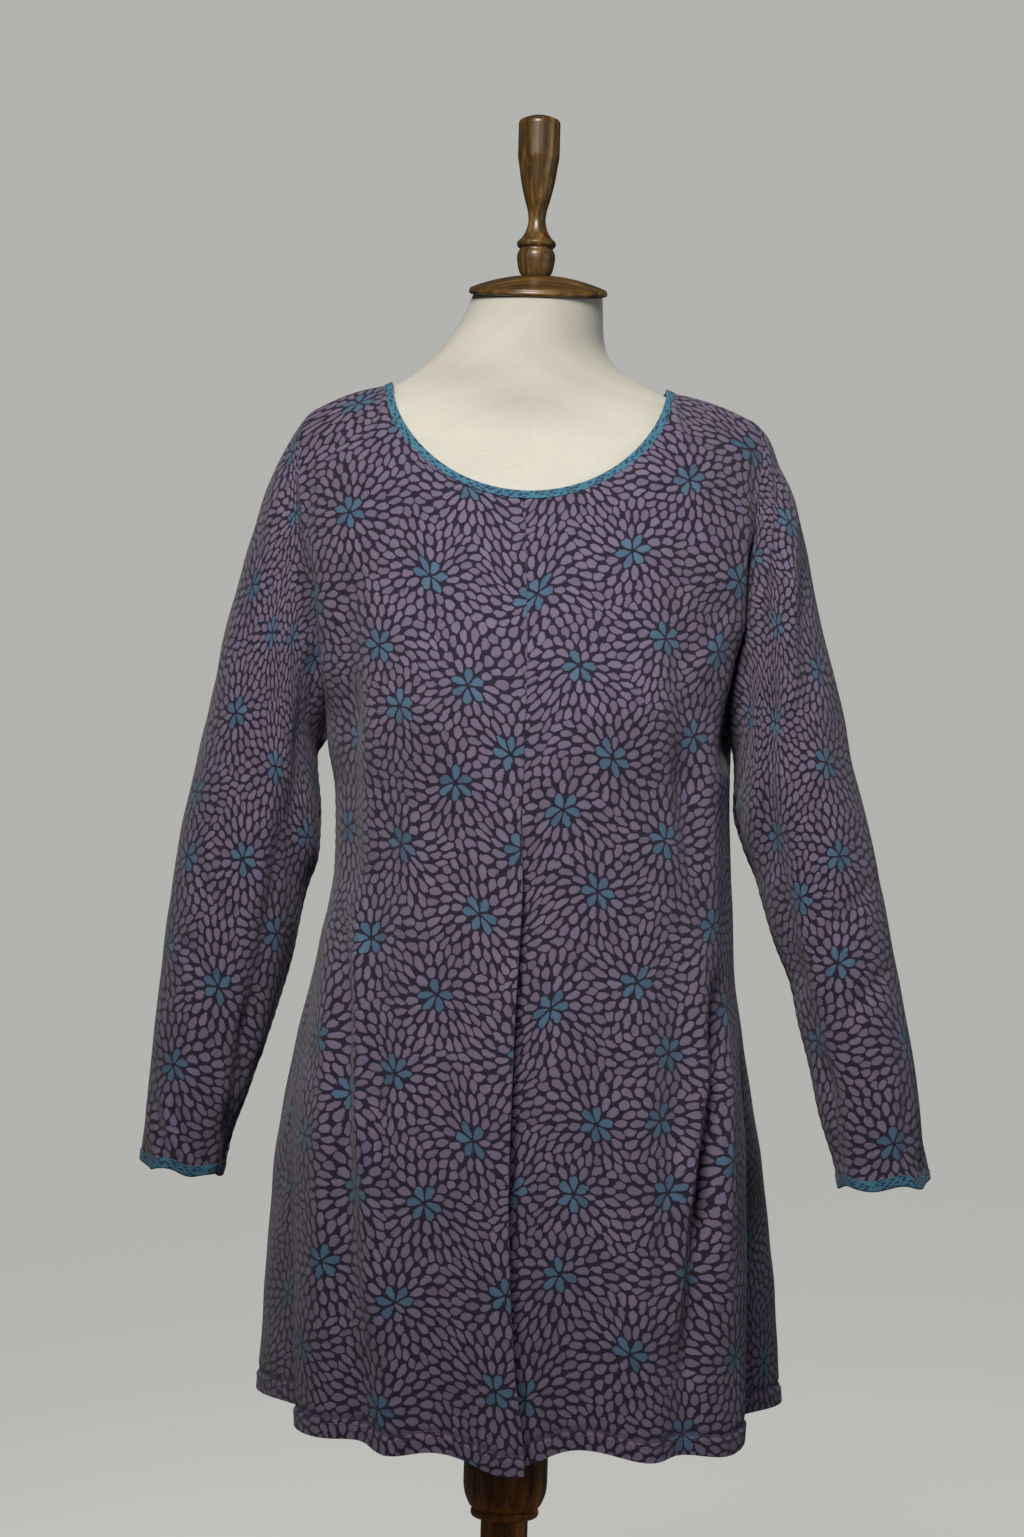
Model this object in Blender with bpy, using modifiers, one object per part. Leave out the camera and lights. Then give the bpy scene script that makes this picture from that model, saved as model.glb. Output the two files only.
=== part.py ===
# A-line dress with long sleeves on a limbless dress form with a turned wooden stand.
# Metres, +Z up, the dress's front towards -Y. The origin is the middle of the base, on the floor.

import math

import bmesh
import bpy
import numpy as np

# Driving dimensions
GAP = 0.0003  # between neighbouring pieces
CLOTH = 0.0016  # wall of the printed jersey
BINDING = 0.0024  # thickness of a binding, folded double over the seam
NECK_BINDING_WIDTH = 0.0060
CUFF_BINDING_WIDTH = 0.0080
SEAM = 0.0012  # half of a seam's gap, as a share of a panel's half width
SHOULDER_TRIM = 0.0017  # cut off the top edges, so that the walls clear each other at the shoulder seam
NECK_SIDE = (0.1195, 0.000, 1.4025)  # where the neckline meets the shoulder seam
SHOULDER_TIP = (0.1865, 0.002, 1.3790)
SHOULDER_ROUND = 0.0035  # how far the shoulder seam bows up between its ends
NECK_LEAN = -0.0045  # the neckline sits a little to the viewer's left
NECK_SHARE = 0.62  # share of a panel's top edge that is neckline
NECK_ROUND = 1.16  # over 1 gives a fuller scoop than an ellipse
NECK_EVEN = 0.74  # below 1 spaces the neckline's points like the chest's below them
NECK_FORWARD = 0.55  # below 1 keeps the neckline forward on the chest for longer
FRONT_NECK = (-0.0800, 1.3065)  # y and z of the neckline at the centre front
BACK_NECK = (0.0780, 1.3850)
PLEAT_TOP = 1.045  # height where the centre front seam opens into the pleat
PLEAT_FOLD = 0.0022  # radius of the pleat's folds
PLEAT_RETURN = 0.034  # width of the part folded under, at the hem
PLEAT_LIFT = 0.014  # how far the left fold stands forward at the hem
PLEAT_DROP = 0.006  # how far the right fold sinks in at the hem
PLEAT_EASE = 0.030  # height over which the pleat's folds begin
PLEAT_SPREAD = 0.11  # how far across a panel the lift or sinking reaches, as a share of its width
PLEAT_START = 0.006  # width folded under at the pleat's top
UNDERLAY_HALF = (0.010, 0.040)  # half width at its top and at the hem
UNDERLAY_RISE = 0.004  # how much shorter it is than the folds at the hem
CORNER = 0.10  # how far before the neckline's end the top edge starts to take the shoulder's form
FLAT_CURVE = 0.86  # below 1 makes a section fuller than an ellipse
ARMHOLE_CLEAR = 0.0019  # from the body's armhole edge to the sleeve's
CUFF_WAVES = 5
CUFF_WAVE = 0.0022  # half the height of the cuff edge's waves
NECK_COLUMNS = 8  # of a front's columns, those that end on the neckline
SHOULDER_COLUMNS = 5
PANEL_COLUMNS = NECK_COLUMNS + SHOULDER_COLUMNS - 1
PANEL_ROWS = 24
SLEEVE_COLUMNS = 22
SLEEVE_ROWS = 15
TORSO_COLUMNS = 32
TURNED_STEPS = 28
NECK_TILT = 9.0  # degrees that the neck's top faces forwards
CAP_CENTRE = (0.0005, -0.012, 1.4788)
FINIAL_X = -0.0020
CAP_RADIUS = 0.0575
CAP_RIM = 0.0050
CAP_DOME = 0.0120
TORSO_BOTTOM = 0.655
DRUM_RADIUS = 0.035
DRUM_BOTTOM = 0.4635
POLE_RADIUS = 0.0196
BASE_RADIUS = 0.190
BASE_HEIGHT = 0.034

LINEN = ("linen", (0.70, 0.66, 0.55), 0.90)
JERSEY = ("printed_jersey", (0.20, 0.16, 0.25), 0.85)
TRIM = ("teal_binding", (0.05, 0.11, 0.15), 0.85)
WOOD = ("turned_wood", (0.17, 0.09, 0.04), 0.42)


def table(names, *rows):
    """One row for each section, read by the columns' names."""
    return dict(zip(names.split(), np.array(rows, float).T))


SECTION = "mid_z side_z rise half lean depth side_y sweep"
# From the hem up: height at the middle and at the side, extra height between them, half width, how far the
# middle leans towards +X, distance from the axis at the middle, y of the side edge, and degrees swept.
FRONT = table(
    SECTION,
    (0.546, 0.550, 0.000, 0.213, 0.011, 0.158, 0.000, 90),
    (0.640, 0.644, 0.000, 0.212, 0.008, 0.157, 0.000, 90),
    (0.760, 0.760, 0.000, 0.206, 0.004, 0.154, 0.000, 90),
    (0.860, 0.860, 0.000, 0.189, 0.004, 0.149, 0.000, 90),
    (0.940, 0.938, 0.000, 0.174, 0.006, 0.144, 0.000, 90),
    (1.005, 1.000, 0.000, 0.165, 0.009, 0.140, 0.000, 90),
    (1.065, 1.060, 0.000, 0.164, 0.007, 0.138, 0.000, 90),
    (1.125, 1.110, 0.000, 0.168, 0.004, 0.134, 0.000, 90),
    (1.180, 1.165, 0.000, 0.176, 0.003, 0.122, 0.036, 76),
    (1.232, 1.235, 0.004, 0.185, 0.001, 0.108, 0.044, 66),
    (1.268, 1.300, 0.012, 0.191, -0.001, 0.096, 0.036, 60),
    (1.292, 1.352, 0.027, 0.193, -0.002, 0.085, 0.018, 54),
)
BACK = table(
    SECTION,
    (0.550, 0.550, 0.000, 0.213, 0.011, 0.158, 0.000, 90),
    (0.640, 0.644, 0.000, 0.212, 0.008, 0.154, 0.000, 90),
    (0.760, 0.760, 0.000, 0.206, 0.004, 0.145, 0.000, 90),
    (0.860, 0.860, 0.000, 0.189, 0.004, 0.133, 0.000, 90),
    (0.938, 0.938, 0.000, 0.174, 0.006, 0.122, 0.000, 90),
    (1.000, 1.000, 0.000, 0.165, 0.009, 0.114, 0.000, 90),
    (1.060, 1.060, 0.000, 0.164, 0.007, 0.111, 0.000, 90),
    (1.115, 1.110, 0.000, 0.168, 0.004, 0.111, 0.000, 90),
    (1.180, 1.165, 0.000, 0.177, 0.003, 0.113, 0.046, 78),
    (1.250, 1.235, 0.000, 0.186, 0.001, 0.112, 0.060, 68),
    (1.315, 1.300, 0.004, 0.191, 0.000, 0.107, 0.056, 62),
    (1.366, 1.350, 0.014, 0.193, -0.002, 0.094, 0.036, 54),
)
# Folds of the skirt: degrees round from the centre front at the hem, degrees more at the start, half width in
# degrees, how far out (or in) at the hem, the height at which the fold starts, and how far the hem dips there.
FOLDS = table(
    "angle drift spread push start dip",
    (0, 0, 13, 0.000, 0.80, 0.017),
    (-33, -2, 8, 0.007, 1.00, 0.007),
    (-43, 2, 6, -0.006, 1.00, -0.002),
    (-55, 0, 9, 0.004, 1.02, 0.001),
    (-84, 0, 15, -0.040, 0.98, 0.000),
    (-120, 6, 16, 0.047, 1.02, 0.000),
    (-150, 0, 13, -0.012, 0.95, -0.003),
    (19, 4, 9, -0.007, 0.95, -0.004),
    (38, 6, 8, 0.007, 1.03, 0.007),
    (47, 2, 6, -0.006, 1.00, 0.000),
    (58, 0, 9, 0.005, 1.02, 0.008),
    (86, 0, 15, -0.042, 0.98, 0.000),
    (120, -6, 16, 0.052, 1.02, 0.000),
    (150, 0, 13, -0.012, 0.95, -0.003),
    (180, 0, 13, 0.014, 0.95, 0.004),
)
HEM_Z = 0.54  # where the folds' depths are measured
BUST = dict(x=0.080, z=1.135, push=0.010, wide=0.050, high=0.055)
# Sleeves from the armhole down: x and z of the outer and the inner edge, half depth and y of the middle. The
# viewer's left sleeve hangs closer in than the right one.
SLEEVE = "outer_x outer_z inner_x inner_z half_depth mid_y"
SLEEVE_LEFT = table(
    SLEEVE,
    (0.2030, 1.352, 0.1740, 1.094, 0.060, 0.008),
    (0.2250, 1.303, 0.1730, 1.076, 0.063, 0.008),
    (0.2410, 1.236, 0.1710, 1.050, 0.064, 0.006),
    (0.2570, 1.165, 0.1700, 1.015, 0.063, 0.003),
    (0.2715, 1.090, 0.1790, 0.981, 0.061, 0.000),
    (0.2860, 1.010, 0.1905, 0.926, 0.058, -0.004),
    (0.2975, 0.905, 0.2055, 0.866, 0.053, -0.009),
    (0.3030, 0.822, 0.2215, 0.812, 0.046, -0.014),
    (0.3060, 0.760, 0.2405, 0.752, 0.038, -0.018),
)
SLEEVE_RIGHT = table(
    SLEEVE,
    (0.2040, 1.350, 0.1760, 1.094, 0.060, 0.008),
    (0.2225, 1.300, 0.1770, 1.078, 0.063, 0.008),
    (0.2385, 1.232, 0.1775, 1.056, 0.064, 0.006),
    (0.2560, 1.165, 0.1850, 1.026, 0.063, 0.003),
    (0.2740, 1.090, 0.1990, 0.988, 0.061, 0.000),
    (0.2945, 1.010, 0.2115, 0.945, 0.057, -0.004),
    (0.3165, 0.908, 0.2330, 0.878, 0.051, -0.009),
    (0.3320, 0.830, 0.2505, 0.810, 0.045, -0.014),
    (0.3405, 0.760, 0.2675, 0.756, 0.039, -0.018),
)
# The torso from its bottom up: height, half width, lean towards +X, how far forwards and back, degrees that the
# section faces forwards, and its fullness, which is below 1 for a section fuller than an ellipse.
TORSO = table(
    "z half lean front back tilt full",
    (TORSO_BOTTOM, 0.135, 0.001, 0.090, 0.098, 0, 0.86),
    (0.670, 0.146, 0.001, 0.101, 0.108, 0, 0.86),
    (0.720, 0.157, 0.002, 0.110, 0.117, 0, 0.86),
    (0.790, 0.162, 0.003, 0.113, 0.121, 0, 0.86),
    (0.860, 0.152, 0.004, 0.110, 0.112, 0, 0.86),
    (0.930, 0.135, 0.004, 0.102, 0.097, 0, 0.86),
    (0.990, 0.128, 0.004, 0.100, 0.092, 0, 0.86),
    (1.050, 0.140, 0.004, 0.110, 0.096, 0, 0.86),
    (1.100, 0.150, 0.003, 0.123, 0.1065, 0, 0.86),
    (1.140, 0.152, 0.001, 0.124, 0.1089, 0, 0.86),
    (1.190, 0.151, 0.000, 0.113, 0.1106, 0, 0.88),
    (1.240, 0.158, 0.000, 0.094, 0.1091, 0, 0.92),
    (1.290, 0.168, 0.000, 0.0765, 0.1035, 0, 1.00),
    (1.330, 0.1745, 0.000, 0.066, 0.0950, 0, 1.25),
    (1.352, 0.1765, -0.001, 0.061, 0.0870, 0, 1.50),
    (1.370, 0.1740, -0.0015, 0.058, 0.0790, 0, 2.10),
    (1.381, 0.1640, -0.0045, 0.058, 0.0720, 0, 2.80),
    (1.388, 0.1480, -0.0055, 0.060, 0.0670, 0, 3.10),
    (1.394, 0.1300, -0.007, 0.062, 0.0650, 0, 3.10),
    (1.398, 0.1140, -0.008, 0.062, 0.0630, 0, 2.70),
    (1.404, 0.1020, -0.0075, 0.061, 0.060, 1, 1.85),
    (1.413, 0.086, -0.012, 0.062, 0.057, 2, 1.25),
    (1.426, 0.073, -0.012, 0.062, 0.051, 4, 1.00),
    (1.440, 0.065, -0.009, 0.063, 0.046, 6, 0.95),
    (1.458, 0.0585, -0.003, 0.064, 0.042, 8, 0.90),
    (1.4785, 0.0540, 0.0005, 0.0665, 0.0425, NECK_TILT, 0.90),
)


def smooth(knots, values, at):
    """Reads a smooth curve through values, one for each knot, at the places in at. It never overshoots."""
    step = np.diff(knots).reshape(-1, *[1] * (values.ndim - 1))
    slope = np.diff(values, axis=0) / step
    before, after = slope[:-1], slope[1:]
    same_way = before * after > 0
    total = np.where(same_way, before + after, 1.0)
    middle = np.where(same_way, 2 * before * after / total, 0.0)
    tangent = np.concatenate([slope[:1], middle, slope[-1:]])
    i = np.clip(np.searchsorted(knots, at, "right") - 1, 0, len(knots) - 2)
    width = step[i]
    f = ((at - knots[i]) / np.diff(knots)[i]).reshape(width.shape)
    start = values[i] * (1 + 2 * f) * (1 - f) ** 2 + tangent[i] * width * f * (1 - f) ** 2
    end = values[i + 1] * (3 - 2 * f) * f**2 + tangent[i + 1] * width * (f - 1) * f**2
    return start + end


def section_points(rows, across, front):
    """Points of each section of a panel, at the places across from -1 to 1."""
    column = {name: values[:, None] for name, values in rows.items()}
    sweep = np.radians(column["sweep"])
    turn = sweep * across
    side = np.abs(across)
    x = column["lean"] + column["half"] * np.sin(turn) / np.sin(sweep)
    full, least = np.cos(turn) ** FLAT_CURVE, np.cos(sweep) ** FLAT_CURVE
    reach = (full - least) / (1 - least)
    y = column["side_y"] + (column["depth"] - column["side_y"]) * reach
    z = column["mid_z"] + (column["side_z"] - column["mid_z"]) * side**2
    z = z + column["rise"] * np.sin(np.pi * side) ** 2
    return np.stack([x, -y if front else y, z], axis=-1)


def top_edge(across, front):
    """The neckline's scoop, then the straight shoulder seam out to the shoulder tip."""
    side, way = np.abs(across), np.sign(across)
    middle_y, middle_z = FRONT_NECK if front else BACK_NECK
    round_neck = np.clip(side / NECK_SHARE, 0, 1)
    turn = np.pi / 2 * round_neck * (NECK_EVEN + (1 - NECK_EVEN) * round_neck**2)
    fall = np.cos(turn) ** NECK_ROUND
    share = np.clip((side - NECK_SHARE) / (1 - NECK_SHARE), 0, 1)
    x = NECK_SIDE[0] * np.sin(turn) + (SHOULDER_TIP[0] - NECK_SIDE[0]) * share
    y = NECK_SIDE[1] + (middle_y - NECK_SIDE[1]) * fall**NECK_FORWARD
    z = NECK_SIDE[2] + (middle_z - NECK_SIDE[2]) * fall + (SHOULDER_TIP[2] - NECK_SIDE[2]) * share
    z = z + SHOULDER_ROUND * np.sin(np.pi * share)
    return np.stack([x * way + NECK_LEAN * (1 - share), y, z], axis=-1)


def unit(vectors):
    return vectors / np.linalg.norm(vectors, axis=-1, keepdims=True)


def ramp(value):
    value = np.clip(value, 0, 1)
    return value * value * (3 - 2 * value)


def folded(points):
    """Pushes points out by the skirt's folds and the bust, and lets the hem dip under the folds."""
    x, y, z = points[..., 0], points[..., 1], points[..., 2]
    angle = np.degrees(np.arctan2(x, -y))
    push, dip = np.zeros_like(x), np.zeros_like(x)
    for centre, drift, spread, depth, start, drop in zip(*FOLDS.values()):
        grown = np.clip((start - z) / (start - HEM_Z), 0, 1.05)
        off = (angle - centre - drift * (1 - grown) + 180) % 360 - 180
        bell = np.exp(-((off / spread) ** 2))
        push += depth * grown**1.15 * bell
        dip += drop * grown**2 * bell
    for way in (-1, 1):
        off = ((x - way * BUST["x"]) / BUST["wide"]) ** 2 + ((z - BUST["z"]) / BUST["high"]) ** 2
        push += BUST["push"] * np.exp(-off) * (y < 0)
    outward = points[..., :2] / np.linalg.norm(points[..., :2], axis=-1, keepdims=True)
    return points + np.concatenate([outward * push[..., None], -dip[..., None]], axis=-1)


def panel_points(across, up, front):
    """The dress's surface at the places across (-1 to 1) and up (0 at the hem to 1 at the top edge)."""
    rows = FRONT if front else BACK
    other = BACK if front else FRONT
    sections = section_points(rows, across, front)
    top = top_edge(across, front)
    # The shoulder runs on smoothly over the seam, and the neckline simply ends.
    over = section_points({name: values[-1:] for name, values in other.items()}, across, not front)[0]
    onward = top + 0.5 * (top - sections[-1])
    blend = ramp((np.abs(across) - NECK_SHARE + CORNER) / CORNER)[:, None]
    ghost = onward + (over - onward) * blend
    stack = np.concatenate([sections, top[None], ghost[None]])
    height = stack[:-1, :, 2].mean(axis=1)
    knots = (height - height[0]) / (height[-1] - height[0])
    knots = np.append(knots, 2 * knots[-1] - knots[-2])
    return folded(smooth(knots, stack, up))


def grid_normals(points):
    """Unit normals of a grid whose columns run along the first direction round and rows upwards."""
    along = np.gradient(points, axis=1)
    up = np.gradient(points, axis=0)
    normal = np.cross(along, up)
    return normal / np.linalg.norm(normal, axis=-1, keepdims=True)


def row_places(count):
    """Places up a panel, closer together towards the shoulder."""
    share = np.linspace(0, 1, count)
    return share * (1.5 - 0.5 * share)


def column_places():
    """Places across a half panel, with one at the corner between the neckline and the shoulder."""
    neck = np.linspace(SEAM, NECK_SHARE, NECK_COLUMNS)
    return np.append(neck[:-1], np.linspace(NECK_SHARE, 1 - SEAM, SHOULDER_COLUMNS))


def trimmed(points, across):
    """Draws a panel's shoulder edge back a little along its cloth."""
    way = unit(points[-2] - points[-1])
    share = ramp((np.abs(across) - NECK_SHARE + CORNER) / CORNER)
    points[-1] += SHOULDER_TRIM * share[:, None] * way
    return points


def pleat_started(z):
    """Grows from 0 to 1 as the seam opens into the pleat."""
    return ramp((PLEAT_TOP - z) / PLEAT_EASE + 0.7)


def front_half(way, across, up):
    """One front panel's surface, with its pleat fold lifted or sunk. way is -1 for the viewer's left."""
    points = panel_points(way * across, up, True)
    below = ramp((PLEAT_TOP - points[..., 2]) / (PLEAT_TOP - HEM_Z))
    near = np.exp(-((across[None, :] / PLEAT_SPREAD) ** 2))
    amount = PLEAT_LIFT if way < 0 else -PLEAT_DROP
    points[..., 1] -= amount * below * near
    points[..., 0] += way * PLEAT_FOLD * pleat_started(points[..., 2]) * near
    return trimmed(points, across)


def new_object(name, collection, mesh, finish, smooth_angle=40):
    finish_name, colour, roughness = finish
    material = bpy.data.materials.get(finish_name)
    if material is None:
        material = bpy.data.materials.new(finish_name)
        material.use_nodes = True
        shader = material.node_tree.nodes["Principled BSDF"]
        shader.inputs["Base Color"].default_value = (*colour, 1)
        shader.inputs["Roughness"].default_value = roughness
        shader.inputs["Metallic"].default_value = 0.0
        material.diffuse_color = (*colour, 1)
    mesh.materials.append(material)
    obj = bpy.data.objects.new(name, mesh)
    collection.objects.link(obj)
    mesh.shade_smooth()
    mesh.set_sharp_from_angle(angle=math.radians(smooth_angle))
    return obj


def mesh_of(name, points, faces):
    mesh = bpy.data.meshes.new(name)
    mesh.from_pydata(points.reshape(-1, 3).tolist(), [], faces)
    mesh.validate()
    return mesh


def grid_faces(rows, columns, closed=False, first=0, turned=False):
    """Quads of a grid of points, which may close round its columns."""
    faces = []
    for i in range(rows - 1):
        for j in range(columns if closed else columns - 1):
            k = (j + 1) % columns
            quad = [i * columns + j, i * columns + k, (i + 1) * columns + k, (i + 1) * columns + j]
            faces.append([first + v for v in (quad[::-1] if turned else quad)])
    return faces


def thicken(obj, thickness=CLOTH):
    wall = obj.modifiers.new("Wall", "SOLIDIFY")
    wall.thickness = thickness
    wall.offset = -1
    wall.use_even_offset = True
    return obj


def front_panel(name, way, collection):
    """A front with the return of its pleat, folded under below the end of the centre front seam."""
    across = column_places()
    up = row_places(PANEL_ROWS)
    panel = front_half(way, across, up)
    normal = grid_normals(panel) * way
    pleated = int((panel[:, 0, 2] < PLEAT_TOP).sum())
    edge, out = panel[:pleated, 0], normal[:pleated, 0]
    height = (PLEAT_TOP - edge[:, 2:]) / (PLEAT_TOP - HEM_Z)
    beyond = np.array([-way, 0.0, 0.0]) * pleat_started(edge[:, 2:])
    columns = []
    for turn in (45, 90, 135):
        angle = math.radians(turn)
        round_fold = out * (math.cos(angle) - 1) + beyond * math.sin(angle)
        columns.append(edge + PLEAT_FOLD * round_fold)
    reach = front_half(way, np.linspace(SEAM, 0.30, 31), up[:pleated])
    for share in (0.0, 0.5, 1.0):
        width = share * (PLEAT_START + (PLEAT_RETURN - PLEAT_START) * height)
        under = []
        for row, normals, wide in zip(reach, grid_normals(reach) * way, width[:, 0]):
            x = np.abs(row[:, 0] - row[0, 0])
            at = [np.interp(wide, x, row[:, k] - 2 * PLEAT_FOLD * normals[:, k]) for k in range(3)]
            under.append(at)
        columns.append(np.array(under))
    extra = np.stack(columns, axis=1)
    count = PANEL_ROWS * PANEL_COLUMNS
    faces = grid_faces(PANEL_ROWS, PANEL_COLUMNS, turned=way < 0)
    width = extra.shape[1]
    for i in range(pleated - 1):
        for j in range(-1, width - 1):
            here = [i * PANEL_COLUMNS, (i + 1) * PANEL_COLUMNS]
            if j >= 0:
                here = [count + i * width + j, count + (i + 1) * width + j]
            there = [count + i * width + j + 1, count + (i + 1) * width + j + 1]
            quad = [here[0], here[1], there[1], there[0]]
            faces.append(quad[::-1] if way < 0 else quad)
    points = np.concatenate([panel.reshape(-1, 3), extra.reshape(-1, 3)])
    return thicken(new_object(name, collection, mesh_of(name, points, faces), JERSEY))


def pleat_underlay(collection):
    """The strip that closes the pleat from behind the two folds."""
    across = np.linspace(-1, 1, 7)
    up = row_places(PANEL_ROWS)
    middle = panel_points(np.array([0.0, 0.01]), up, True)[:, 0]
    kept = middle[:, 2] < PLEAT_TOP - PLEAT_EASE / 2
    rows = []
    for place, centre in zip(up[kept], middle[kept]):
        below = (PLEAT_TOP - centre[2]) / (PLEAT_TOP - HEM_Z)
        half = np.interp(below, (0, 1), UNDERLAY_HALF)
        row = panel_points(across * half / (1.5 * FRONT["half"].max()), np.array([place]), True)[0]
        row[:, 1] += PLEAT_DROP * ramp(below) + 2 * PLEAT_FOLD + 2 * GAP
        row[:, 2] += UNDERLAY_RISE * below
        rows.append(row)
    points = np.array(rows)
    mesh = mesh_of("pleat_underlay", points, grid_faces(len(rows), len(across)))
    return thicken(new_object("pleat_underlay", collection, mesh, JERSEY))


def back_panel(collection):
    half = column_places()[1:]
    across = np.concatenate([half[::-1], [0], -half])
    points = trimmed(panel_points(across, row_places(PANEL_ROWS), False), across)
    mesh = mesh_of("back", points, grid_faces(PANEL_ROWS, len(across)))
    return thicken(new_object("back", collection, mesh, JERSEY))


def armhole_loop(way, count):
    """Points round an armhole: shoulder tip, front, underarm, back, evenly along each half."""
    place = np.linspace(0, 1, 120)
    halves = []
    for front in (True, False):
        edge = panel_points(np.array([way * (1 - SEAM), way]), place, front)[:, 1]
        kept = edge[edge[:, 2] > FRONT["side_z"][7] - 0.002][::-1]
        length = np.append(0, np.cumsum(np.linalg.norm(np.diff(kept, axis=0), axis=1)))
        at = np.linspace(0, length[-1], count // 2 + 1)
        halves.append(np.stack([np.interp(at, length, kept[:, k]) for k in range(3)], axis=1))
    return np.concatenate([halves[0], halves[1][-2:0:-1]])


def sleeve_points(way, rows, count=SLEEVE_ROWS, columns=SLEEVE_COLUMNS):
    """A sleeve's surface from the armhole down to the wavy cuff."""
    turn = np.linspace(0, 2 * np.pi, columns, endpoint=False)
    column = {name: values[:, None] for name, values in rows.items()}
    middle_x = (column["outer_x"] + column["inner_x"]) / 2
    middle_z = (column["outer_z"] + column["inner_z"]) / 2
    x = middle_x + (column["outer_x"] - column["inner_x"]) / 2 * np.cos(turn)
    z = middle_z + (column["outer_z"] - column["inner_z"]) / 2 * np.cos(turn)
    y = column["mid_y"] - column["half_depth"] * np.sin(turn)
    z[-1] += CUFF_WAVE * np.cos(CUFF_WAVES * turn)
    rings = np.stack([way * x, y, z], axis=-1)
    armhole = armhole_loop(way, columns)
    armhole[:, 0] += way * ARMHOLE_CLEAR
    stack = np.concatenate([armhole[None], rings])
    height = stack[..., 2].mean(axis=1)
    knots = (height[0] - height) / (height[0] - height[-1])
    return smooth(knots, stack, np.linspace(0, 1, count))


def sleeve(name, way, rows, collection):
    points = sleeve_points(way, rows)
    faces = grid_faces(*points.shape[:2], closed=True, turned=way < 0)
    return thicken(new_object(name, collection, mesh_of(name, points, faces), JERSEY))


def binding(name, edge, outward, beyond, width, collection):
    """A strip folded over a cloth edge: a round-edged band carried round the closed loop of the edge."""
    half, soft = BINDING / 2, BINDING / 4
    section = (
        (2 * GAP, half),
        (width - soft, half),
        (width, half - soft),
        (width, soft - half),
        (width - soft, -half),
        (2 * GAP, -half),
    )
    middle = edge - outward * CLOTH / 2
    rings = np.stack([middle + beyond * along + outward * out for along, out in section], axis=1)
    count, sides = rings.shape[:2]
    faces = []
    for i in range(count):
        for j in range(sides):
            a, b = i * sides, (i + 1) % count * sides
            k = (j + 1) % sides
            faces.append([a + j, a + k, b + k, b + j])
    mesh = mesh_of(name, rings, faces)
    shape = bmesh.new()
    shape.from_mesh(mesh)
    bmesh.ops.recalc_face_normals(shape, faces=shape.faces)
    shape.to_mesh(mesh)
    shape.free()
    return new_object(name, collection, mesh, TRIM)


def loop_tangents(loop):
    return unit(np.roll(loop, -1, axis=0) - np.roll(loop, 1, axis=0))


def neck_binding(collection):
    """The neckline's loop: across the front from the viewer's left, then back round behind the neck."""
    loops, normals = [], []
    for front in (True, False):
        half = column_places()[1:NECK_COLUMNS]
        across = np.concatenate([-half[::-1], [0], half[:-1]])
        for value in across if front else -across:
            near = panel_points(value + np.array([-0.01, 0, 0.01]), np.array([0.955, 0.975, 1.0]), front)
            below, level, edge = near
            normal = np.cross(level[2] - level[0], edge[1] - below[1])
            loops.append(edge[1])
            normals.append(normal if front else -normal)
    edge, normal = np.array(loops), unit(np.array(normals))
    normal = unit(2 * normal + np.roll(normal, 1, axis=0) + np.roll(normal, -1, axis=0))
    tangent = loop_tangents(edge)
    beyond = unit(np.cross(normal, tangent))
    return binding("neck_binding", edge, normal, beyond, NECK_BINDING_WIDTH, collection)


def cuff_binding(name, way, rows, collection):
    points = sleeve_points(way, rows, count=160)
    edge, above = points[-1], points[-7]
    tangent = loop_tangents(edge)
    middle = edge.mean(axis=0)
    outward = unit(np.cross(tangent, edge - above))
    outward = outward * np.sign(((edge - middle) * outward).sum(axis=1, keepdims=True))
    beyond = unit(edge - above)
    return binding(name, edge, outward, beyond, CUFF_BINDING_WIDTH, collection)


def torso(collection):
    """The form, one closed skin through its sections."""
    turn = np.linspace(0, 2 * np.pi, TORSO_COLUMNS, endpoint=False)
    neck_and_shoulders = TORSO["z"][TORSO["z"] > 1.32]
    heights = np.concatenate([[TORSO_BOTTOM], np.arange(0.68, 1.32, 0.04), neck_and_shoulders])
    column = {name: smooth(TORSO["z"], values, heights)[:, None] for name, values in TORSO.items()}
    reach = np.where(np.cos(turn) > 0, column["front"], column["back"])
    x = column["lean"] + column["half"] * np.sin(turn)
    y = -reach * np.sign(np.cos(turn)) * np.abs(np.cos(turn)) ** column["full"]
    z = column["z"] + np.tan(np.radians(column["tilt"])) * (y - CAP_CENTRE[1])
    points = np.stack([x, y, z], axis=-1)
    rows = len(heights)
    faces = grid_faces(rows, TORSO_COLUMNS, closed=True)
    faces.append(list(range(TORSO_COLUMNS))[::-1])
    faces.append([(rows - 1) * TORSO_COLUMNS + j for j in range(TORSO_COLUMNS)])
    mesh = mesh_of("form_torso", points, faces)
    return new_object("form_torso", collection, mesh, LINEN)


def turned(name, profile, collection, location=(0, 0, 0), tilt=0.0, steps=TURNED_STEPS):
    """A piece turned on a lathe: its profile runs from the axis at the top down the outer side."""
    mesh = bpy.data.meshes.new(name)
    mesh.from_pydata([(radius, 0, z) for radius, z in profile], [(i, i + 1) for i in range(len(profile) - 1)], [])
    obj = new_object(name, collection, mesh, WOOD, smooth_angle=30)
    obj.location = location
    obj.rotation_euler[0] = math.radians(tilt)
    lathe = obj.modifiers.new("Lathe", "SCREW")
    lathe.steps = lathe.render_steps = steps
    lathe.use_merge_vertices = True
    lathe.merge_threshold = 0.00001
    return obj


def arc(centre, radius, start, end, count):
    """Points along a round part of a profile, from start to end degrees."""
    turns = np.radians(np.linspace(start, end, count))
    return [(centre[0] + radius * math.cos(t), centre[1] + radius * math.sin(t)) for t in turns]


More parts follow.
